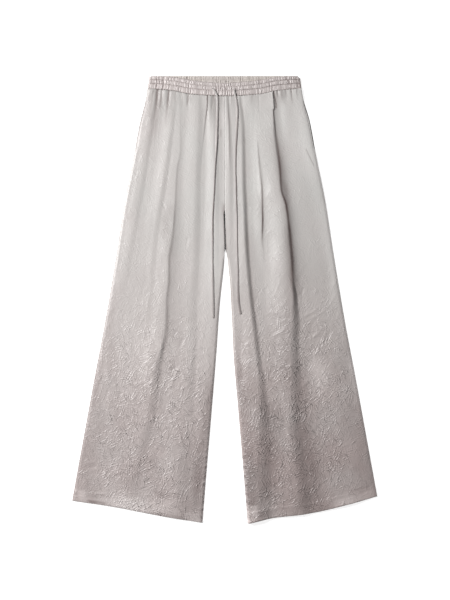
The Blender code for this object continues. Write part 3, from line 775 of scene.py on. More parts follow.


# Painted shade and painted highlights that lie in the folds: height along the leg, place, width and
# strength
# The first table holds the narrow ones under the band.
paintedGatherShade = (
    ((505, -160.5, 3, 0.3), (486, -161.5, 3, 0.3), (457, -165.5, 4, 0.15), (428, -169.5, 4, 0)),
    ((502, -148.5, 2, 0.4), (486, -150, 2, 0.38), (466, -153, 2.5, 0.25), (445, -156, 2.5, 0)),
    ((500, -132.5, 2, 0.4), (483, -134.5, 2, 0.36), (447, -139, 2.5, 0.22), (405, -142.5, 2.5, 0)),
    ((493, -86.5, 2, 0.35), (481, -87, 2.5, 0.42), (469, -89.5, 2, 0.3), (457, -90.5, 2, 0)),
    ((500, -170, 1.6, 0.2), (476, -172.5, 2, 0.2), (447, -178.5, 2, 0)),
    ((490, -100, 2, 0.2), (471, -101.5, 2, 0.2), (452, -103, 2, 0)),
    ((497, -116.5, 2, 0.2), (481, -117.5, 2, 0.2), (462, -119, 2, 0)),
    ((488, -42, 2, 0.3), (466, -43.5, 2, 0.3), (445, -45.5, 2, 0.12), (428, -47.5, 2, 0)),
    ((488, -13.5, 2, 0.3), (471, -13, 2, 0.22), (447, -13, 2, 0.1), (405, -12.5, 2, 0)),
    ((488, 15.5, 2, 0.25), (466, 15, 2, 0.18), (438, 14.5, 2, 0)),
    ((488, -3.5, 1.6, 0.22), (466, -4, 2, 0.15), (443, -5, 2, 0)),
    ((493, 65, 2, 0.2), (478, 63, 2, 0.16), (459, 61, 2.5, 0)),
    ((502, 134, 2, 0.4), (488, 134.5, 2, 0.32), (474, 135.5, 2, 0)),
    ((505, 143.5, 2, 0.3), (493, 144, 2, 0.25), (478, 145, 2, 0)),
    ((505, 156, 2, 0.35), (483, 158, 2, 0.25), (462, 160, 2, 0)),
    ((505, 169, 2, 0.3), (488, 170, 2, 0.2), (471, 172, 2, 0)),
)
paintedFoldLights = {
    "calf edge light": ((-118, 295, 8, 0), (-166, 304, 9, -0.24), (-213, 314, 9, -0.15), (-266, 323, 9, 0)),
    "knee ridge light": ((-94, 74, 8, 0), (-130, 74, 8, -0.18), (-166, 80, 9, -0.24), (-201, 86, 9, -0.14),
        (-242, 88, 9, 0)),
    "pleat, right light": ((481, 138, 8, 0), (452, 136, 9, -0.26), (405, 141, 9, -0.17), (367, 145, 9, 0)),
    "hem light, wide": ((-461, -238, 50, 0), (-484, -240, 54, -0.15), (-506, -240, 54, -0.15)),
    "hem light by the inseam": ((-465, -131, 20, 0), (-484, -131, 20, -0.15), (-518, -126, 20, -0.12)),
    "hem light in the middle": ((-465, 98, 14, 0), (-484, 100, 16, -0.22), (-522, 102, 16, -0.2)),
    "hip right": ((514, 174, 16, -0.1), (476, 177, 17, -0.25), (405, 188, 19, -0.28), (357, 195, 20, -0.33),
        (310, 204, 20, -0.27), (262, 214, 18, -0.18), (167, 231, 16, -0.14), (72, 252, 12, -0.13),
        (-71, 273, 12, -0.08), (-118, 285, 12, 0)),
    "pleat, upper left": ((424, 119, 8, 0), (381, 122, 8, 0.14), (357, 126, 9, 0.25), (310, 133, 11, 0.34),
        (262, 140, 10, 0.22), (226, 145, 10, 0.12), (179, 152, 10, 0)),
    "front, between": ((486, 59, 14, 0), (452, 61, 14, -0.12), (405, 64, 14, -0.13), (357, 69, 14, -0.14),
        (262, 68, 13, -0.19), (210, 70, 13, -0.1), (167, 74, 13, 0)),
    "by the right tie": ((440, -34, 11, 0), (393, -32, 12, -0.16), (357, -31, 12, -0.14),
        (310, -28, 13, -0.18), (262, -28, 17, -0.2), (215, -28, 15, -0.14), (119, -24, 12, -0.2),
        (24, -26, 11, -0.2), (-47, -30, 11, -0.13), (-118, -43, 16, -0.1), (-166, -48, 18, -0.16),
        (-209, -52, 16, 0)),
    "waist left": ((519, -176, 18, 0.1), (495, -174, 18, 0.1), (476, -178, 20, 0.16), (452, -180, 20, 0.17),
        (405, -185, 15, 0.12), (357, -197, 14, 0.14), (310, -206, 12, 0.13), (262, -212, 12, 0.12),
        (215, -219, 10, 0.12), (167, -228, 10, 0)),
    "gather shade 1": ((509, -159, 8, 0.28), (476, -159, 8, 0.24), (452, -162, 8, 0.22),
        (405, -169, 8, 0.1), (357, -176, 8, 0)),
    "gather shade 2": ((509, -128, 9, 0.2), (476, -131, 9, 0.27), (452, -133, 9, 0.2), (405, -136, 9, 0)),
    "gather shade 3": ((505, -26, 5, 0.12), (476, -26, 5, 0.16), (452, -27, 5, 0.12), (428, -28, 5, 0)),
    "inner edge left": ((-118, 21, 9, 0), (-166, 38, 12, 0.15), (-213, 43, 13, 0.32), (-261, 45, 12, 0.26),
        (-308, 48, 12, 0.22), (-356, 50, 13, 0.26), (-403, 57, 19, 0.36), (-451, 57, 17, 0.3),
        (-484, 64, 22, 0.3), (-522, 64, 14, 0.1)),
    "second trough, right side": ((-123, 178, 12, 0), (-166, 183, 13, 0.17), (-213, 185, 13, 0.18),
        (-261, 187, 15, 0.2), (-285, 188, 17, 0.28), (-356, 197, 18, 0.28), (-403, 207, 18, 0.38),
        (-427, 209, 18, 0.25), (-475, 219, 19, 0.22), (-508, 226, 18, 0.1)),
    "second trough, hem": ((-446, 181, 16, 0), (-484, 178, 16, 0.18), (-508, 176, 16, 0.1)),
    "shin light, left leg": ((-118, 214, 22, 0), (-166, 219, 24, -0.34), (-213, 231, 24, -0.2),
        (-266, 240, 24, 0)),
    "hem corner light": ((-304, 288, 22, 0), (-356, 295, 22, -0.17), (-403, 297, 20, -0.05),
        (-451, 302, 20, -0.1), (-482, 283, 24, -0.22), (-503, 278, 24, -0.1)),
    "hem fold left": ((-361, -174, 14, 0), (-403, -159, 19, 0.17), (-451, -154, 18, 0.19),
        (-480, -152, 18, 0)),
    "knee light": ((-94, -183, 12, -0.06), (-118, -183, 12, -0.12), (-166, -192, 12, -0.17),
        (-204, -195, 12, 0)),
    "knee fold": ((-133, -126, 10, 0), (-168, -126, 10, 0.12), (-204, -126, 10, 0)),
    "knee light right of fold": ((-83, -126, 9, 0), (-116, -126, 9, -0.14), (-144, -126, 9, 0)),
    "knee inner light": ((153, 112, 12, 0), (119, 115, 12, -0.16), (72, 114, 13, -0.14),
        (24, 109, 16, -0.22), (-23, 107, 14, -0.08), (-71, 107, 14, 0)),
    "slot": ((231, 0, 1.6, 0), (222, -2, 2, 0.35), (210, -3, 2, 0.4), (200, -2, 2, 0.4),
        (167, -0.5, 2.5, 0.85), (143, 0.5, 2.5, 0.85), (122, 1.5, 2.5, 0.85), (117, 1.5, 2, 0)),
    "inner edge right": ((-178, -27, 7, 0), (-213, -33, 7, 0.17), (-285, -45, 12, 0.2),
        (-356, -54, 9, 0.17), (-427, -62, 12, 0.14), (-475, -65, 11, 0.12), (-503, -67, 10, 0)),
    "left leg outer side": ((-118, -297, 8, 0), (-213, -307, 9, 0.13), (-285, -297, 20, 0.13),
        (-356, -318, 18, 0.15), (-427, -330, 16, 0.12), (-475, -316, 10, 0.15), (-489, -311, 8, 0)),
    "first trough, right side": ((-225, 112, 20, 0), (-285, 119, 24, 0.24), (-323, 116, 20, 0.2),
        (-356, 115, 16, 0.16), (-427, 121, 16, 0.1), (-487, 119, 16, 0.05)),
    "pleat, left side": ((286, 139, 9, 0.06), (262, 145, 9, 0.2), (167, 150, 12, 0.24), (72, 157, 13, 0.28),
        (24, 154, 13, 0.2), (-23, 152, 13, 0.18), (-118, 146, 14, 0.21), (-213, 147, 13, 0.12),
        (-256, 150, 13, 0)),
    "between the folds": ((226, 67, 10, 0), (167, 74, 13, -0.22), (119, 81, 15, -0.22), (72, 84, 17, -0.18),
        (-23, 88, 15, -0.17), (-118, 88, 13, -0.16), (-171, 88, 13, 0)),
    "under the ties": ((238, -21, 16, -0.03), (203, -24, 20, -0.14), (167, -26, 22, -0.2),
        (119, -26, 24, -0.2), (72, -24, 24, -0.22), (1, -28, 18, -0.13), (-118, -32, 16, -0.16),
        (-171, -36, 14, 0)),
    "thigh": ((143, -76, 16, 0), (72, -76, 20, -0.1), (-23, -81, 18, -0.1), (-106, -86, 18, 0)),
    "shade beside the slot": ((238, -5, 3, 0), (226, -5, 4, 0.16), (212, -5.5, 4, 0.16),
        (191, -5.5, 4, 0.08), (162, -5, 4, 0)),
    "pocket mouth left": ((362, 190, 2, 0), (355, 193, 2, 0.15), (338, 201, 2, 0.2), (324, 208, 2, 0.14),
        (317, 211.5, 2, 0)),
    "fly tack": ((408, -10, 2, 0), (403, -10, 2, 0.25), (390, -10, 2, 0.18), (386, -10, 2, 0)),
    "right side light": ((500, 145, 22, -0.05), (428, 154, 24, -0.14), (357, 162, 24, -0.2),
        (262, 171, 26, -0.13), (167, 190, 28, -0.12), (72, 212, 30, -0.1), (-23, 231, 32, -0.08),
        (-118, 250, 34, -0.05), (-237, 273, 34, -0.02), (-308, 297, 34, 0)),
    "right edge light": ((488, 183, 9, 0), (428, 192, 10, -0.05), (357, 207, 10, -0.08),
        (238, 228, 11, -0.1), (119, 248, 12, -0.16), (1, 267, 12, -0.16), (-118, 289, 12, -0.1),
        (-237, 311, 12, -0.06), (-356, 330, 12, 0)),
    "outer edge": ((519, -177, 8, 0.05), (476, -184, 9, 0.24), (428, -196, 9, 0.2), (333, -213, 9, 0.14),
        (238, -232, 9, 0.14), (119, -251, 9, 0.13), (1, -271, 9, 0.14), (-118, -292, 9, 0.15),
        (-237, -315, 9, 0.17), (-356, -336, 9, 0.17), (-451, -354, 9, 0.1), (-480, -359, 9, 0)),
    "under tie": ((488, -27, 1.2, 0.3), (476, -27.5, 1.3, 0.3), (462, -31, 1.4, 0.25),
        (447, -32.5, 1.4, 0)),
    "fine tick 1": ((495, 138, 1, 0.15), (481, 139, 1, 0.08), (466, 140, 1, 0)),
    "fine tick 2": ((500, 157, 1, 0.2), (483, 158, 1.2, 0.15), (462, 159.5, 1.2, 0)),
    "tuck": ((497, 122.5, 2.5, 0.3), (488, 124, 2, 0.28), (478, 123, 1.6, 0.1), (474, 122, 1.4, 0)),
    "centre seam": ((488, 7, 1.3, 0), (478, 7, 1.3, 0.25), (436, 8.5, 1.3, 0.32), (424, 10, 1.3, 0.32),
        (390, 10.5, 1.4, 0.3), (357, 11, 1.4, 0.26), (326, 11.5, 1.6, 0.1), (305, 12, 1.6, 0)),
    "right pleat": ((493, -41.5, 1.6, 0), (486, -41, 1.6, 0.35), (466, -41, 1.6, 0.3), (445, -43, 1.6, 0.3),
        (428, -46, 2, 0.2), (393, -50, 2, 0.05), (369, -50, 2, 0)),
    "left thin fold": ((386, 77.5, 1.6, 0), (357, 79, 1.6, 0.2), (333, 80.5, 1.7, 0.35),
        (298, 83.5, 1.7, 0.4), (262, 88, 2, 0.5), (226, 88.5, 2, 0.6), (191, 89.5, 2, 0.8),
        (162, 88.5, 2, 0.6), (136, 88, 2, 0.2), (115, 93, 2, 0.08), (91, 93, 2, 0)),
    "left pleat": ((505, 115.5, 2, 0), (497, 115.5, 2, 0.5), (481, 118, 2, 0.6), (466, 121, 2, 0.55),
        (457, 121.5, 2, 0.5), (452, 115.5, 2, 0.4), (438, 115, 2, 0.4), (405, 118.5, 3, 0.35),
        (357, 125.5, 3, 0.4), (310, 130.5, 3, 0.45), (262, 133.5, 3, 0.45), (226, 145, 3, 0.5),
        (191, 150, 3, 0.45), (143, 156, 3.5, 0.42), (96, 159.5, 4, 0.42), (48, 160, 5, 0.32),
        (1, 166.5, 6, 0.25), (-47, 170, 8, 0.15), (-118, 171, 10, 0.1), (-237, 170, 14, 0.1),
        (-356, 177, 17, 0.12), (-427, 186.5, 18, 0.14), (-487, 197.5, 18, 0.14), (-518, 207, 18, 0.1)),
    "right long fold": ((424, -104.5, 2, 0), (357, -104.5, 2, 0.08), (310, -112.5, 2, 0.12),
        (238, -116.5, 2.5, 0.12), (191, -120, 2.5, 0.2), (143, -124, 3, 0.12), (96, -131.5, 2.5, 0.2),
        (48, -131.5, 2.5, 0.2), (1, -136.5, 2.5, 0.15), (-47, -136.5, 2.5, 0.22), (-118, -143.5, 3, 0.12),
        (-190, -157, 4, 0.05), (-237, -161.5, 4, 0)),
    "left inner fold": ((481, 35, 2, 0), (469, 35.5, 2, 0.14), (447, 42, 2, 0.14), (405, 44.5, 3, 0.12),
        (286, 47.5, 3.5, 0.15), (215, 50.5, 3.5, 0.2), (143, 53.5, 4, 0.22), (72, 58.5, 4, 0.18),
        (1, 65.5, 4.5, 0.18), (-71, 74.5, 5, 0.15), (-142, 82, 6, 0.14), (-213, 90.5, 7, 0.15),
        (-285, 95, 14, 0.15), (-356, 93, 19, 0.16), (-427, 94, 20, 0.16), (-487, 98.5, 20, 0.13),
        (-522, 102, 20, 0.1)),
    "middle light": ((476, -83, 22, 0), (405, -83, 24, -0.06), (357, -83, 24, -0.1), (262, -83, 24, -0.1),
        (167, -83, 24, -0.05), (91, -88, 24, 0)),
    "inner calf light": ((143, -40, 18, 0), (72, -40, 18, -0.1), (-23, -52, 20, -0.14),
        (-118, -64, 20, -0.1), (-213, -78, 22, -0.12), (-285, -78, 22, -0.08), (-356, -74, 20, 0)),
    "outer calf light": ((60, -240, 30, 0), (1, -226, 30, -0.05), (-118, -235, 34, -0.1),
        (-213, -250, 30, -0.04), (-285, -254, 30, 0)),
    "shin light": ((-308, -150, 26, 0), (-356, -150, 26, -0.06), (-427, -152, 30, -0.2),
        (-470, -159, 34, -0.16), (-503, -164, 34, -0.1)),
    "hem light": ((-437, -245, 55, 0), (-461, -240, 60, -0.1), (-477, -226, 62, -0.17),
        (-503, -178, 62, -0.15)),
    "inner hem shade": ((-308, -67, 12, 0), (-356, -67, 14, 0.1), (-427, -68, 15, 0.22),
        (-487, -76, 16, 0.16), (-522, -83, 16, 0.1)),
    "bright ridge": ((226, -143, 9, 0), (167, -145, 9, 0.13), (119, -151, 9, 0.08), (72, -153, 9, 0.08),
        (24, -157, 9, 0)),
    "outer hem corner": ((-437, 328, 18, 0), (-461, 323, 20, -0.15), (-480, 314, 22, -0.26),
        (-503, 297, 22, -0.2)),
    "pocket mouth": ((362, 192, 1.4, 0), (355, 194.5, 1.4, 0.25), (324, 209, 1.4, 0.25),
        (314, 213, 1.4, 0)),
    "hip fold": ((486, -154.5, 3, 0), (466, -157, 3, 0.1), (405, -164, 3, 0.08), (333, -176, 3, 0)),
    "calf light by the inseam": ((-47, -83, 8, 0), (-70, -83, 9, -0.15), (-118, -83, 9, -0.15),
        (-213, -88, 9, -0.04), (-308, -90, 9, -0.16), (-356, -90, 9, 0)),
    "knee crease light": ((-40, -168, 8, 0), (-71, -171, 8, -0.15), (-118, -156, 8, -0.14),
        (-150, -156, 8, 0)),
    "thigh light, outer": ((240, 236, 9, 0), (214, 238, 9, -0.13), (167, 245, 9, -0.12), (72, 258, 9, -0.1),
        (-24, 247, 10, -0.13), (-71, 250, 10, -0.07), (-118, 262, 10, -0.12), (-142, 262, 10, 0)),
    "thigh shade": ((240, -133, 12, 0), (215, -133, 13, 0.12), (167, -138, 13, 0.12), (119, -133, 12, 0.08),
        (80, -133, 12, 0)),
    "pleat shade": ((190, 150, 6, 0), (167, 152, 7, 0.15), (119, 154, 7, 0.12), (72, 160, 7, 0.06),
        (24, 173, 7, 0.15), (0, 173, 7, 0)),
    "outer shade": ((48, -250, 10, 0), (24, -254, 11, 0.1), (-24, -266, 11, 0.1), (-71, -273, 11, 0.12),
        (-166, -266, 14, 0.1), (-213, -266, 12, 0.04), (-308, -250, 14, 0.1), (-356, -266, 12, 0.1),
        (-400, -266, 12, 0)),
    "front light": ((380, 38, 6, 0), (357, 38, 7, -0.1), (310, 38, 7, -0.14), (262, 38, 7, -0.1),
        (214, 45, 7, -0.13), (167, 40, 7, -0.04), (72, 35, 7, -0.1), (24, 31, 7, -0.12), (0, 31, 7, 0)),
    "waist light": ((495, -169, 4, 0), (476, -169, 4, -0.16), (452, -169, 4, -0.13), (430, -170, 4, 0)),
    "waist shade": ((500, -33, 3, 0.12), (476, -26, 3, 0.12), (460, -26, 3, 0)),
    "hem light, inner": ((-290, 90, 8, 0), (-308, 90, 9, -0.12), (-356, 90, 9, -0.12), (-451, 95, 9, -0.1),
        (-475, 95, 8, 0)),
    "waist shade 2": ((490, -83, 5, 0), (476, -83, 5, 0.17), (462, -83, 5, 0)),
    "fly shade": ((490, -4, 5, 0), (476, -4, 6, 0.13), (452, -3, 5, 0.1), (440, -3, 5, 0)),
    "light by the thin fold": ((286, 104, 8, 0), (262, 104, 8, -0.13), (240, 104, 8, 0)),
    "slot foot": ((135, -1, 5, 0), (119, -1, 6, 0.16), (100, -1, 5, 0)),
    "crotch edge right": ((0, -12, 4, 0), (-24, -12, 5, 0.16), (-48, -14, 4, 0)),
    "crotch edge left": ((48, 17, 4, 0), (24, 17, 5, 0.14), (-24, 17, 5, 0.1), (-48, 17, 4, 0)),
    "inseam shade right": ((-190, -28, 4, 0), (-213, -28, 5, 0.15), (-240, -30, 4, 0)),
    "calf light": ((-340, -97, 7, 0), (-356, -97, 8, -0.18), (-372, -97, 7, 0)),
    "shin light, outer": ((-190, 280, 10, 0), (-213, 282, 10, -0.15), (-237, 282, 10, 0)),
}


# painted shade and painted highlights from the tables above, one value per point
def paintedFoldLight(x, y):
    total = np.zeros_like(x)
    for rows in (*paintedGatherShade, *paintedFoldLights.values()):
        inRange = (y / mm <= rows[0][0]) & (y / mm >= rows[-1][0])
        place, width, strength = (readPath(rows, k, y / mm) for k in (1, 2, 3))
        total += strength * inRange * np.exp(-(((x / mm - place) / width) ** 2))
    return np.clip(total, -0.5, 0.9)


# Painted shade and painted highlights in streaks along each hem: from and to across the leg, from and to
# above the edge, and strength
paintedHemLights = {
    "right": ((-326, -283, 2, 8, 0.34), (-318, -271, 22, 26, 0.2), (-349, -316, 7, 26, -0.1),
        (-157, -104, -4, 8, 0.2), (-95, -60, 0, 20, -0.22), (-169, -128, 42, 58, 0.12),
        (-272, -190, 2, 24, -0.1), (-345, -330, -2, 24, -0.12)),
    "left": ((50, 76, 2, 40, -0.5), (82, 107, 7, 21, 0.24), (66, 108, -4, 2, 0.55),
        (64, 162, 24, 26, -0.14), (66, 150, 19, 22, 0.08), (257, 352, 2, 18, -0.16),
        (330, 360, 0, 22, -0.16), (297, 342, 25, 30, 0.12)),
}
paintedHemLightEnds = {"across": 5, "up": 2}
inseamBeadShade = {"from": -330 * mm, "to": -375 * mm, "pitch": 20 * mm, "reach": 4.4 * mm, "strength": 0.6}


def paintedHemLight(side, x, above):
    total = np.zeros_like(x)
    for *ends, strength in paintedHemLights[side]:
        part = strength
        spans = (("across", x, ends[:2]), ("up", above, ends[2:]))
        for way, value, (low, high) in spans:
            soft = paintedHemLightEnds[way]
            part = part * smoothStep(low - soft, low + soft, value / mm)
            part = part * smoothStep(high + soft, high - soft, value / mm)
        total += part
    return total


def paintedBeadShade(side, x, y):
    # painted shade in the dimples where the inseam pulls the cloth in
    toSeam = np.abs(x) - readTable(frontInner[side], y / mm) * mm
    beads = np.clip(np.sin(2 * pi * y / inseamBeadShade["pitch"] + 1.4 * np.sin(y / mm / 41)), 0, 1) ** 2
    beads = beads * smoothStep(inseamBeadShade["from"], inseamBeadShade["to"], y)
    return inseamBeadShade["strength"] * beads * np.exp(-((toSeam / inseamBeadShade["reach"]) ** 2))


panelSettings = {"front": (188, 472), "back": (100, 330)}  # columns and rows of points


def orderedShell(name, side, x, y, top, bottom, outer, inner, skip=2):
    # rows run from the waist down and columns away from the middle, so one side is mirrored
    upper, lower = np.stack([x, y, top], -1), np.stack([x, y, bottom], -1)
    return shellMesh(name, upper, lower, outer, inner, topOutward=sides[side] > 0, skip=skip)


def makeFront(side):
    x, y, above = legGrid(side, "front", bandSeam, frontInner[side])
    top = frontTop(x, y, above)
    bottom = lowest(top, 4) - 0.75 * clothSettings["cloth"]
    # the panel's edge stands back along the pocket mouth
    fromSide = readTable(outerEdge, y / mm) * mm - np.abs(x)
    mouth = smoothStep(350 * mm, 366 * mm, y) * smoothStep(478 * mm, 470 * mm, y)
    x = x - sides[side] * 1.8 * mm * mouth * (1 - smoothStep(0, 12 * mm, fromSide))
    mesh = orderedShell(f"frontPanel_{side}", side, x, y, top, bottom, legSatin[side], satinInner, skip=4)
    # painted shade and painted highlights go into the panel's colour
    storeShade(mesh, np.clip(paintedFoldLight(x, y) + paintedHemLight(side, x, above) + paintedBeadShade(side, x, y), -0.5, 0.9))
    panel = addObject(f"frontPanel_{side}", mesh)
    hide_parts(f"front_{side}")
    return panel


def makeBack(side):
    seam = clothSettings["backSeam"]
    x, y, above = legGrid(side, "back", lambda at: np.full(at.shape, seam), backInner[side])
    inside, near = edgeEase(x, y, backInner, clothSettings["backCrotch"])
    rise = backRise(x, y) + (0.4 * mm + 0.6 * clothSwell(x, y, 90)) * smoothStep(0, 15 * mm, near)
    rise = rise + 0.7 * readMap(backCreaseMap, x, y)
    below = seam - y
    rise = rise + 0.4 * gatherHeight(-x, y, below) * inside
    rise = np.maximum(rise, 0.05 * mm)
    curl = 0.35 * mm * (1 - smoothStep(0, clothSettings["edgeRound"], np.minimum(near, above + 1.5 * mm)))
    bottom = rise + curl
    top = -lowest(-bottom, 2) + 0.75 * clothSettings["cloth"]
    mesh = orderedShell(f"backPanel_{side}", side, x, y, bottom, top, satinOuter, satinInner)
    mesh.materials.append(slotShade)
    for polygon in mesh.polygons:  # deep shade where the front opens over the crotch
        x, y = polygon.center.x / mm, polygon.center.y / mm
        if polygon.material_index == 1 and abs(x) < 6 and 108 < y < 230:
            polygon.material_index = 2
    panel = addObject(f"backPanel_{side}", mesh)
    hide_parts(f"back_{side}")
    return panel


pocketSettings = {
    "top": 478 * mm,
    "depth": 250 * mm,
    "width": 135 * mm,
    "corner": 45 * mm,
    "inset": 2.2 * mm,
    "mouth": 124 * mm,
    "layer": 0.5 * mm,
    "seamAllowance": 6 * mm,
}


def makePocketBag(side):
    # two layers of plain cloth joined by a seam all round, with round lower corners
    width, depth, corner = (pocketSettings[k] for k in ("width", "depth", "corner"))
    columns, rows = 32, 60
    v = np.linspace(0, 1, rows + 1)[:, None]
    u = np.linspace(0, 1, columns + 1)[None, :]
    y = pocketSettings["top"] - depth * v + 0 * u
    low = np.clip(y - (pocketSettings["top"] - depth), 0, corner)
    curve = corner - np.sqrt(np.maximum(0, corner**2 - (corner - low) ** 2))
    below = smoothStep(pocketSettings["top"] - pocketSettings["mouth"], pocketSettings["top"] - depth, y)
    near = pocketSettings["inset"] + curve * 0.98 + 2 * mm * below
    far = width - curve * 0.98 - 0.15 * width * smoothStep(0.5, 0, v) * smoothStep(0.3, 0, v)
    fromSide = near + (far - near) * u
    x = (readTable(outerEdge, y / mm) * mm - fromSide) * sides[side]
    toRim = np.minimum(np.minimum(fromSide - near, far - fromSide), y - (pocketSettings["top"] - depth))
    base = backRise(x, y) + clothSettings["wall"] + clothSettings["gap"]
    seam = np.exp(-(((toRim - pocketSettings["seamAllowance"]) / (1.0 * mm)) ** 2))
    soft = 0.12 * mm * gradientNoise(x / 0.02, y / 0.03, 77 + sides[side])
    top = base + 2 * pocketSettings["layer"] + (soft - 0.25 * mm * seam) * smoothStep(0, 4 * mm, toRim)
    mesh = orderedShell(f"pocketBag_{side}", side, x, y, top, base, pocketCloth, pocketCloth)
    bag = addObject(f"pocketBag_{side}", mesh)
    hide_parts(f"pocket_bag_{side}")
    return bag


print("panels")
fronts = {side: makeFront(side) for side in sides}
backs = {side: makeBack(side) for side in sides}
pocketBags = {side: makePocketBag(side) for side in sides}


print("waistband")
bandSettings = {
    "backTop": 530.5 * mm,
    "halfWidth": 180,  # millimetres
    "gathers": 59,
    "perGather": 14,
    "stitchRows": (0.41, 0.72),
    "edge": 1.1 * mm,
    "endEdge": 0.6 * mm,
    "stitch": 1.35 * mm,
    "puff": 1.1 * mm,
    "gatherHeight": 1.0 * mm,
    "paintedValleyShade": 0.24,
    "underShare": 0.8,
    "faceRows": 44,
}
# Deeper tucks across the whole band: place and depth in millimetres
frontBandTucks = (
    (-159.5, 1.7), (-144.2, 1.7), (-152.5, 0.7), (-170, 0.5), (-130, 0.5), (-14.3, 0.9), (-5.6, 0.9),
    (1.2, 0.8), (6.5, 0.8), (16.2, 0.9), (11.4, 0.5), (-20, 0.5), (96, 0.4), (171, 0.5),
)
backBandTucks = (
    (-87.2, 1.5), (-75.3, 0.8), (-53.7, 1), (-101, 0.5), (22, 0.6), (38, 0.5), (60, 0.5),
)


def bandFace(s, f, seed, tucks, tight):
    # height of the gathered face above its underside; s runs across and f from bottom to top
    count = bandSettings["gathers"]
    low, high = bandSettings["stitchRows"]
    rng = np.random.default_rng(seed)
    channel = np.where(f < low, 0, np.where(f < high, 1, 2))
    starts, ends = np.array([0, low, high]), np.array([low, high, 1.0])
    g = (f - starts[channel]) / (ends[channel] - starts[channel])
    drift = 0.5 * np.sin(2 * pi * s * 3.3 + 1.0) + 0.35 * np.sin(2 * pi * s * 11 + channel * 1.3)
    drift = drift + 0.3 * np.sin(2 * pi * s * 23 + channel * 2.1) + 0.25 * np.sin(pi * g) * np.sin(40 * s)
    at = s * count + drift
    index = np.clip(np.floor(at).astype(int), -2, count + 1) + 2
    size = rng.uniform(0.25, 1.3, (3, count + 4))[channel, index]
    ridge = np.abs(np.sin(pi * at)) ** 0.8
    swell = np.sin(pi * np.clip(g, 0, 1)) ** 0.5
    x = (2 * s - 1) * bandSettings["halfWidth"]
    stronger = 1 + 0.5 * np.exp(-(((x + 2) / 20) ** 4)) * (channel > 0)
    stronger = stronger + 1.0 * smoothStep(128, 138, x) * (channel == 2) * tight
    height = bandSettings["stitch"] + bandSettings["puff"] * swell
    valley = bandSettings["gatherHeight"] * size * stronger * (1 - ridge) * (0.35 + 0.65 * swell)
    height = height - valley + 0.25 * mm * np.sin(2 * pi * s * 17 + channel)
    for place, depth in tucks:
        height = height - depth * mm * np.exp(-(((x - place - 1.2 * np.sin(5 * f)) / 1.1) ** 2))
    rim = smoothStep(0, 0.05, f) * (1 - smoothStep(0.94, 1, f))
    return bandSettings["edge"] + (np.maximum(height, 0.35 * mm) - bandSettings["edge"]) * rim


def makeBand(name, node, base, edgesOf, cloths, seed, tucks, tight):
    columns = bandSettings["gathers"] * bandSettings["perGather"]
    s = np.linspace(0, 1, columns + 1)[None, :]
    f = np.linspace(0, 1, bandSettings["faceRows"] + 1)[:, None]
    across = 2 * s - 1
    middle = readTable(outerEdge, 530.5) * mm * across
    wobble = 0.35 * mm * np.cos(2 * pi * bandSettings["gathers"] * s + 2 * np.sin(9 * s))
    low, high = edgesOf(middle)
    y = low + (high - low + wobble) * f
    corner = 2.6 * mm * smoothStep(0.955, 1, np.abs(across)) * smoothStep(0.4, 1, f)
    corner = corner + 3.4 * mm * smoothStep(0.965, 1, across) * smoothStep(0.3, 1, f)
    y = y - corner
    x = (readTable(outerEdge, y / mm) + 1.0) * mm * across
    x = x - clothSettings["leftInset"] * smoothStep(0.6, 1, across)
    edge = bandSettings["endEdge"]
    endDrop = smoothStep(0, 5 * mm, (1 - np.abs(across)) * bandSettings["halfWidth"] * mm)
    z = base + edge + (bandFace(s + 0 * f, f + 0 * s, seed, tucks, tight) - edge) * endDrop
    # painted shade where the face sinks low: in the gather valleys and along the stitch rows
    valley = np.clip((bandSettings["stitch"] + 0.8 * bandSettings["puff"] + base - z) / (1.6 * mm), 0, 1)
    calmRim = smoothStep(0, 0.06, f) * smoothStep(1, 0.94, f)
    tight = 1 + 1.3 * tight * smoothStep(0.7, 0.77, across)
    tones = np.minimum(0.75, bandSettings["paintedValleyShade"] * tight) * valley * calmRim
    full = base + bandSettings["stitch"] + bandSettings["puff"]
    hollow = bandSettings["underShare"] * np.maximum(0, full - z)  # the underside is gathered too
    under = base + np.minimum(hollow, np.maximum(0, z - base - edge)) * calmRim * endDrop
    grid, below = np.stack([x, y, z], -1), np.stack([x, y, under], -1)
    mesh = shellMesh(name, grid, below, *cloths, topOutward=False)
    storeShade(mesh, tones, tones[::2, ::2])
    band = addObject(name, mesh)
    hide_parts(node)
    return band


bandRaise = 2.6 * mm  # the gathered edges stand a little above the solids
backBottom, backTop = clothSettings["backSeam"], bandSettings["backTop"] + bandRaise


def bandEdges(x):
    # the front band's lower and upper edge
    return bandSeam(x), bandTop(x) + bandRaise * smoothStep(0.06, 0.15, np.abs(x))


def backBandEdges(x):
    return np.full(x.shape, backBottom), np.full(x.shape, backTop)


backBand = makeBand(
    "waistBandBack", "waistband_back", 0.0, backBandEdges, (bandInner, bandOuter), 5, backBandTucks, 0.0
)
frontBase = 3.3 * mm
frontCloths = (bandOuter, bandInner)
frontBand = makeBand(
    "waistBandFront", "waistband_front", frontBase, bandEdges, frontCloths, 6, frontBandTucks, 1.0
)


def surfaceTree(obj):
    mesh = obj.data
    return BVHTree.FromPolygons([v.co for v in mesh.vertices], [tuple(p.vertices) for p in mesh.polygons])


clothTrees = [surfaceTree(obj) for obj in (*fronts.values(), frontBand, backBand)]


def surfaceAt(x, y):
    best = 0.0
    for tree in clothTrees:
        hit = tree.ray_cast(Vector((x, y, 0.2)), Vector((0, 0, -1)))[0]
        if hit is not None:
            best = max(best, hit.z)
    return best


print("stitching")
stitchSettings = {"radius": 0.5 * mm, "length": 2.3 * mm, "pitch": 3.1 * mm, "sink": 0.1 * mm}


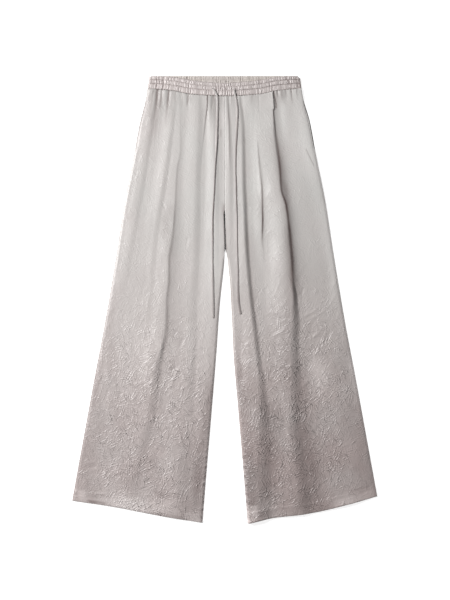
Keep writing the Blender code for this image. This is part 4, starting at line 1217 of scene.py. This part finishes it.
def makeStitches(name, points, material, length, pitch, radius, seed):
    # a row of short threads that follow a line of points over the cloth
    line = np.array(points, float)
    along = np.concatenate([[0], np.cumsum(np.linalg.norm(np.diff(line, axis=0), axis=1))])
    rng = np.random.default_rng(seed)
    verts, faces = [], []
    at = 0.0
    while at + length < along[-1]:
        size = length * rng.uniform(0.75, 1.2)
        stations = np.linspace(at, at + size, 5)
        swell = (0.35, 0.95, 1.0, 0.95, 0.35)
        for station, grow in zip(stations, swell):
            x = np.interp(station, along, line[:, 0])
            y = np.interp(station, along, line[:, 1])
            ahead = np.interp(station + mm, along, line[:, 1]) - np.interp(station - mm, along, line[:, 1])
            side = np.interp(station + mm, along, line[:, 0]) - np.interp(station - mm, along, line[:, 0])
            norm = max(np.hypot(side, ahead), 1e-9)
            nx, ny = -ahead / norm, side / norm
            z = surfaceAt(x, y) + radius * (grow - 0.35) - stitchSettings["sink"]
            for k in range(6):
                turn = 2 * pi * k / 6
                r = radius * grow
                verts.append((x + nx * r * cos(turn), y + ny * r * cos(turn), z + r * sin(turn)))
        first = len(verts) - 30
        for k in range(4):
            for m in range(6):
                a, b = first + 6 * k + m, first + 6 * k + (m + 1) % 6
                faces.append((a, b, b + 6, a + 6))
        faces.append(tuple(first + m for m in range(6))[::-1])
        faces.append(tuple(first + 24 + m for m in range(6)))
        at += pitch * rng.uniform(0.9, 1.1)
    mesh = bpy.data.meshes.new(name)
    mesh.from_pydata(verts, [], faces)
    mesh.materials.append(material)
    return addObject(name, mesh)


def bandLine(low, high, share, count=240):
    xs = np.linspace(low, high, count) * mm
    return [(x, b + (t - b) * share) for x, b, t in zip(xs, *bandEdges(xs))]


# rows of stitches across the band, dark as painted shade
for row, share in enumerate(bandSettings["stitchRows"]):
    for part, (low, high) in enumerate(((-178, -33), (26, 178))):
        thread, wider = (paleStitchShade, stitchShade)[part], (1.25, 0.9)[row]
        size = (stitchSettings["length"], stitchSettings["pitch"], stitchSettings["radius"] * wider)
        line = bandLine(low, high, share)
        makeStitches(f"bandStitch_{row}_{part}", line, thread, *size, 60 + 2 * row + part)
hemThreadSettings = {"above": 24.0, "size": (2.4 * mm, 3.4 * mm, 0.3 * mm)}  # length, pitch and radius
# stitches along each hem, dark as painted shade
for side in sides:
    hemXs = [readTable(frontInner[side], -500.0) + 3 + 3.0 * k for k in range(98)]
    hemLine = [
        (sides[side] * x * mm, (readTable(hemEdge[side], x) + hemThreadSettings["above"]) * mm)
        for x in hemXs
        if x < readTable(outerEdge, -475.0) - 3
    ]
    makeStitches(f"hemStitch_{side}", hemLine, hemStitchShade, *hemThreadSettings["size"], 80 + sides[side])
buttonholes = {  # the sewn edge of each hole, in millimetres; its near-black thread is painted shade in the hole
    "right": ((-31.0, 503.6), (-26.0, 500.6), (-22.2, 496.0), (-19.4, 489.0), (-18.2, 483.0)),
    "left": ((25.2, 503.6), (25.8, 497.0), (27.0, 489.0), (28.4, 479.5)),
}
for side, edge in buttonholes.items():
    edgeLine = [(x * mm, y * mm) for x, y in edge]
    makeStitches(f"buttonhole_{side}", edgeLine, shadowLineThread, 2.6 * mm, 2.7 * mm, 0.75 * mm, 90)
bandShadowDashes = {  # painted shadow as dark dashes in the gaps at the band's seam and top edge: line, then length, pitch and radius in millimetres
    "bandSeamShadow": (bandLine(-166, 176, -0.02), (4.4, 6.3, 0.62)),
    "bandTopShadow": (bandLine(-138, 96, 1.01), (5.0, 5.6, 0.4)),
}
for number, (name, (line, size)) in enumerate(bandShadowDashes.items()):
    makeStitches(name, line, shadowLineThread, *(value * mm for value in size), 70 + number)


print("ties")
tieSettings = {
    "width": 5.2 * mm,
    "thickness": 1.6 * mm,
    "step": 2.2 * mm,
    "routes": {  # the same points as the solids, in millimetres
        "right": (
            (-31, 504), (-24, 495.5), (-19.5, 485), (-18, 462), (-20.2, 390), (-23.6, 312), (-25.4, 270),
            (-27.4, 230), (-29, 196), (-29.8, 104), (-29, 13), (-27.5, -42),
        ),
        "left": (
            (21, 503), (22.5, 492), (26.2, 477), (29, 455), (28.4, 428), (27.4, 393), (25.8, 357),
            (24.8, 310), (26.3, 262), (27.3, 214), (28.4, 150), (29.8, 81), (32, 1), (37, -33),
        ),
    },
    "tones": {  # painted shade along each tie: height along the leg and how deep the shade is
        "right": (
            (500, 0.1), (440, 0.12), (390, 0.2), (320, 0.35), (250, 0.45), (190, 0.6), (120, 0.5),
            (80, 0.1), (-45, 0.05),
        ),
        "left": (
            (500, 0.1), (460, 0.25), (390, 0.35), (330, 0.3), (240, 0.5), (180, 0.4), (130, 0.25),
            (60, 0.15), (10, 0.3), (-35, 0.35),
        ),
    },
}


def smoothRoute(points, step):
    # an even row of points along a smooth curve through the given ones
    padded = [points[0], *points, points[-1]]
    fine = []
    for k in range(len(points) - 1):
        p0, p1, p2, p3 = (np.array(p, float) for p in padded[k : k + 4])
        for t in np.linspace(0, 1, 60, endpoint=False):
            fine.append(
                0.5 * (2 * p1 + (p2 - p0) * t + (2 * p0 - 5 * p1 + 4 * p2 - p3) * t**2)
                + 0.5 * (3 * p1 - p0 - 3 * p2 + p3) * t**3
            )
    fine.append(np.array(points[-1], float))
    fine = np.array(fine)
    along = np.concatenate([[0], np.cumsum(np.linalg.norm(np.diff(fine, axis=0), axis=1))])
    at = np.linspace(0, along[-1], int(round(along[-1] / step)) + 1)
    return np.stack([np.interp(at, along, fine[:, k]) for k in range(fine.shape[1])], 1)


def makeTie(side):
    route = smoothRoute([(x * mm, y * mm) for x, y in tieSettings["routes"][side]], tieSettings["step"])
    halfWide, halfThick = tieSettings["width"] / 2, tieSettings["thickness"] / 2
    reach = (-halfWide, -halfWide / 2, 0, halfWide / 2, halfWide)
    ahead = np.gradient(route, axis=0)
    ahead /= np.linalg.norm(ahead, axis=1)[:, None]
    sideways = np.stack([-ahead[:, 1], ahead[:, 0]], 1)
    rest = np.array([max(surfaceAt(*(p + n * r)) for r in reach) for p, n in zip(route, sideways)])
    for _ in range(3):
        padded = np.pad(rest, 3, mode="edge")
        highest = np.max([padded[k : k + len(rest)] for k in range(7)], axis=0)
        rest = 0.5 * rest + 0.5 * highest
    smooth = np.convolve(np.pad(rest, 4, mode="edge"), np.ones(9) / 9, mode="valid")
    rest = np.maximum(smooth, rest - 0.3 * mm)
    z = rest + halfThick + 0.05 * mm
    away = np.linspace(0, 1, len(route)) * len(route) * tieSettings["step"]
    z = z - 2.2 * mm * (1 - smoothStep(0, 7 * mm, away))  # it comes up out of the buttonhole
    rng = np.random.default_rng(31 if side == "right" else 32)
    waves = rng.uniform(0, 6, 4)
    twist = 0.30 * np.sin(away / 0.045 + waves[0]) + 0.22 * np.sin(away / 0.019 + waves[1])
    wide = halfWide * (1 + 0.06 * np.sin(away / 0.013 + waves[2]) + 0.05 * np.sin(away / 0.005 + waves[3]))
    wide = wide * (0.8 + 0.2 * smoothStep(0, 10 * mm, away))
    toEnd = len(route) * tieSettings["step"] - away
    onEdge = smoothStep(120 * mm, 190 * mm, away) * smoothStep(90 * mm, 135 * mm, toEnd)
    wide = wide * (1 - 0.42 * onEdge)  # it turns half on edge
    ringCount = 20
    turn = np.linspace(0, 2 * pi, ringCount, endpoint=False)
    flat = np.sign(np.cos(turn)) * np.abs(np.cos(turn)) ** 0.75
    tall = np.sign(np.sin(turn)) * np.abs(np.sin(turn)) ** 0.9
    centre = np.concatenate([route, z[:, None]], 1)
    rings = []
    for k, (c, n) in enumerate(zip(centre, sideways)):
        end = min(1.0, 0.35 + 0.65 * min(k, len(route) - 1 - k) / 1.5)
        up = np.array([0, 0, 1.0])
        out = np.array([n[0], n[1], 0]) * cos(twist[k]) + up * sin(twist[k]) * 0.4
        ring = out * (flat * wide[k])[:, None] * end**0.3 + up * (tall * halfThick)[:, None] * end
        rings.append(c + ring)
    verts = np.concatenate(rings)
    faces = []
    for k in range(len(route) - 1):
        for m in range(ringCount):
            a, b = k * ringCount + m, k * ringCount + (m + 1) % ringCount
            faces.append((a, b, b + ringCount, a + ringCount))
    last = (len(route) - 1) * ringCount
    faces.append(tuple(range(ringCount))[::-1])
    faces.append(tuple(last + m for m in range(ringCount)))
    mesh = bpy.data.meshes.new(f"tie_{side}")
    mesh.from_pydata(verts.tolist(), [], faces)
    mesh.materials.append(tieSatin)
    mesh.materials.append(tieEdgeShade)
    for number, polygon in enumerate(mesh.polygons):  # the two long edges are darker: painted shade
        spot = abs(cos(2 * pi * (number % ringCount + 0.5) / ringCount))
        if number < (len(route) - 1) * ringCount and spot > 0.93:
            polygon.material_index = 1
    # painted shade along the tie, by height along the leg
    heights, depths = zip(*tieSettings["tones"][side][::-1])
    storeShade(mesh, np.repeat(np.interp(route[:, 1] / mm, heights, depths), ringCount))
    tie = addObject(f"tie_{side}", mesh)
    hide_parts(f"drawstring_{side}")


for side in sides:
    makeTie(side)


print("floor and light")
lightSettings = {
    "key": {"at": (-1.65, 0.72, 1.75), "size": 0.9, "power": 67.0},
    "fill": {"at": (1.8, 0.4, 2.4), "size": 2.5, "power": 2.0},
    "world": 0.13,
}


def addFloor():
    mesh = bpy.data.meshes.new("floor")
    half, low = 6.0, -0.6 * mm
    corners = [(half * x, half * y, low) for x, y in ((-1, -1), (1, -1), (1, 1), (-1, 1))]
    mesh.from_pydata(corners, [], [(0, 1, 2, 3)])
    obj = bpy.data.objects.new("floor", mesh)
    bpy.context.collection.objects.link(obj)
    material = bpy.data.materials.new("floor")
    material.use_nodes = True
    shader = material.node_tree.nodes["Principled BSDF"].inputs
    shader["Base Color"].default_value = (0.9, 0.9, 0.9, 1)
    shader["Roughness"].default_value = 0.9
    shader["Emission Color"].default_value = (1, 1, 1, 1)
    shader["Emission Strength"].default_value = 0.75
    mesh.materials.append(material)


def addLight(name, settings):
    data = bpy.data.lights.new(name, "AREA")
    data.shape = "DISK"
    data.size = settings["size"]
    data.energy = settings["power"]
    light = bpy.data.objects.new(name, data)
    light.location = settings["at"]
    light.rotation_euler = (-Vector(settings["at"])).to_track_quat("-Z", "Y").to_euler()
    bpy.context.collection.objects.link(light)


addFloor()
for lightName in ("key", "fill"):
    addLight(lightName, lightSettings[lightName])
world = bpy.data.worlds.new("studio")
world.use_nodes = True
sky = world.node_tree.nodes["Background"].inputs
sky["Color"].default_value = (1, 1, 1, 1)
sky["Strength"].default_value = lightSettings["world"]
bpy.context.scene.world = world
bpy.context.scene.view_settings.view_transform = "Standard"
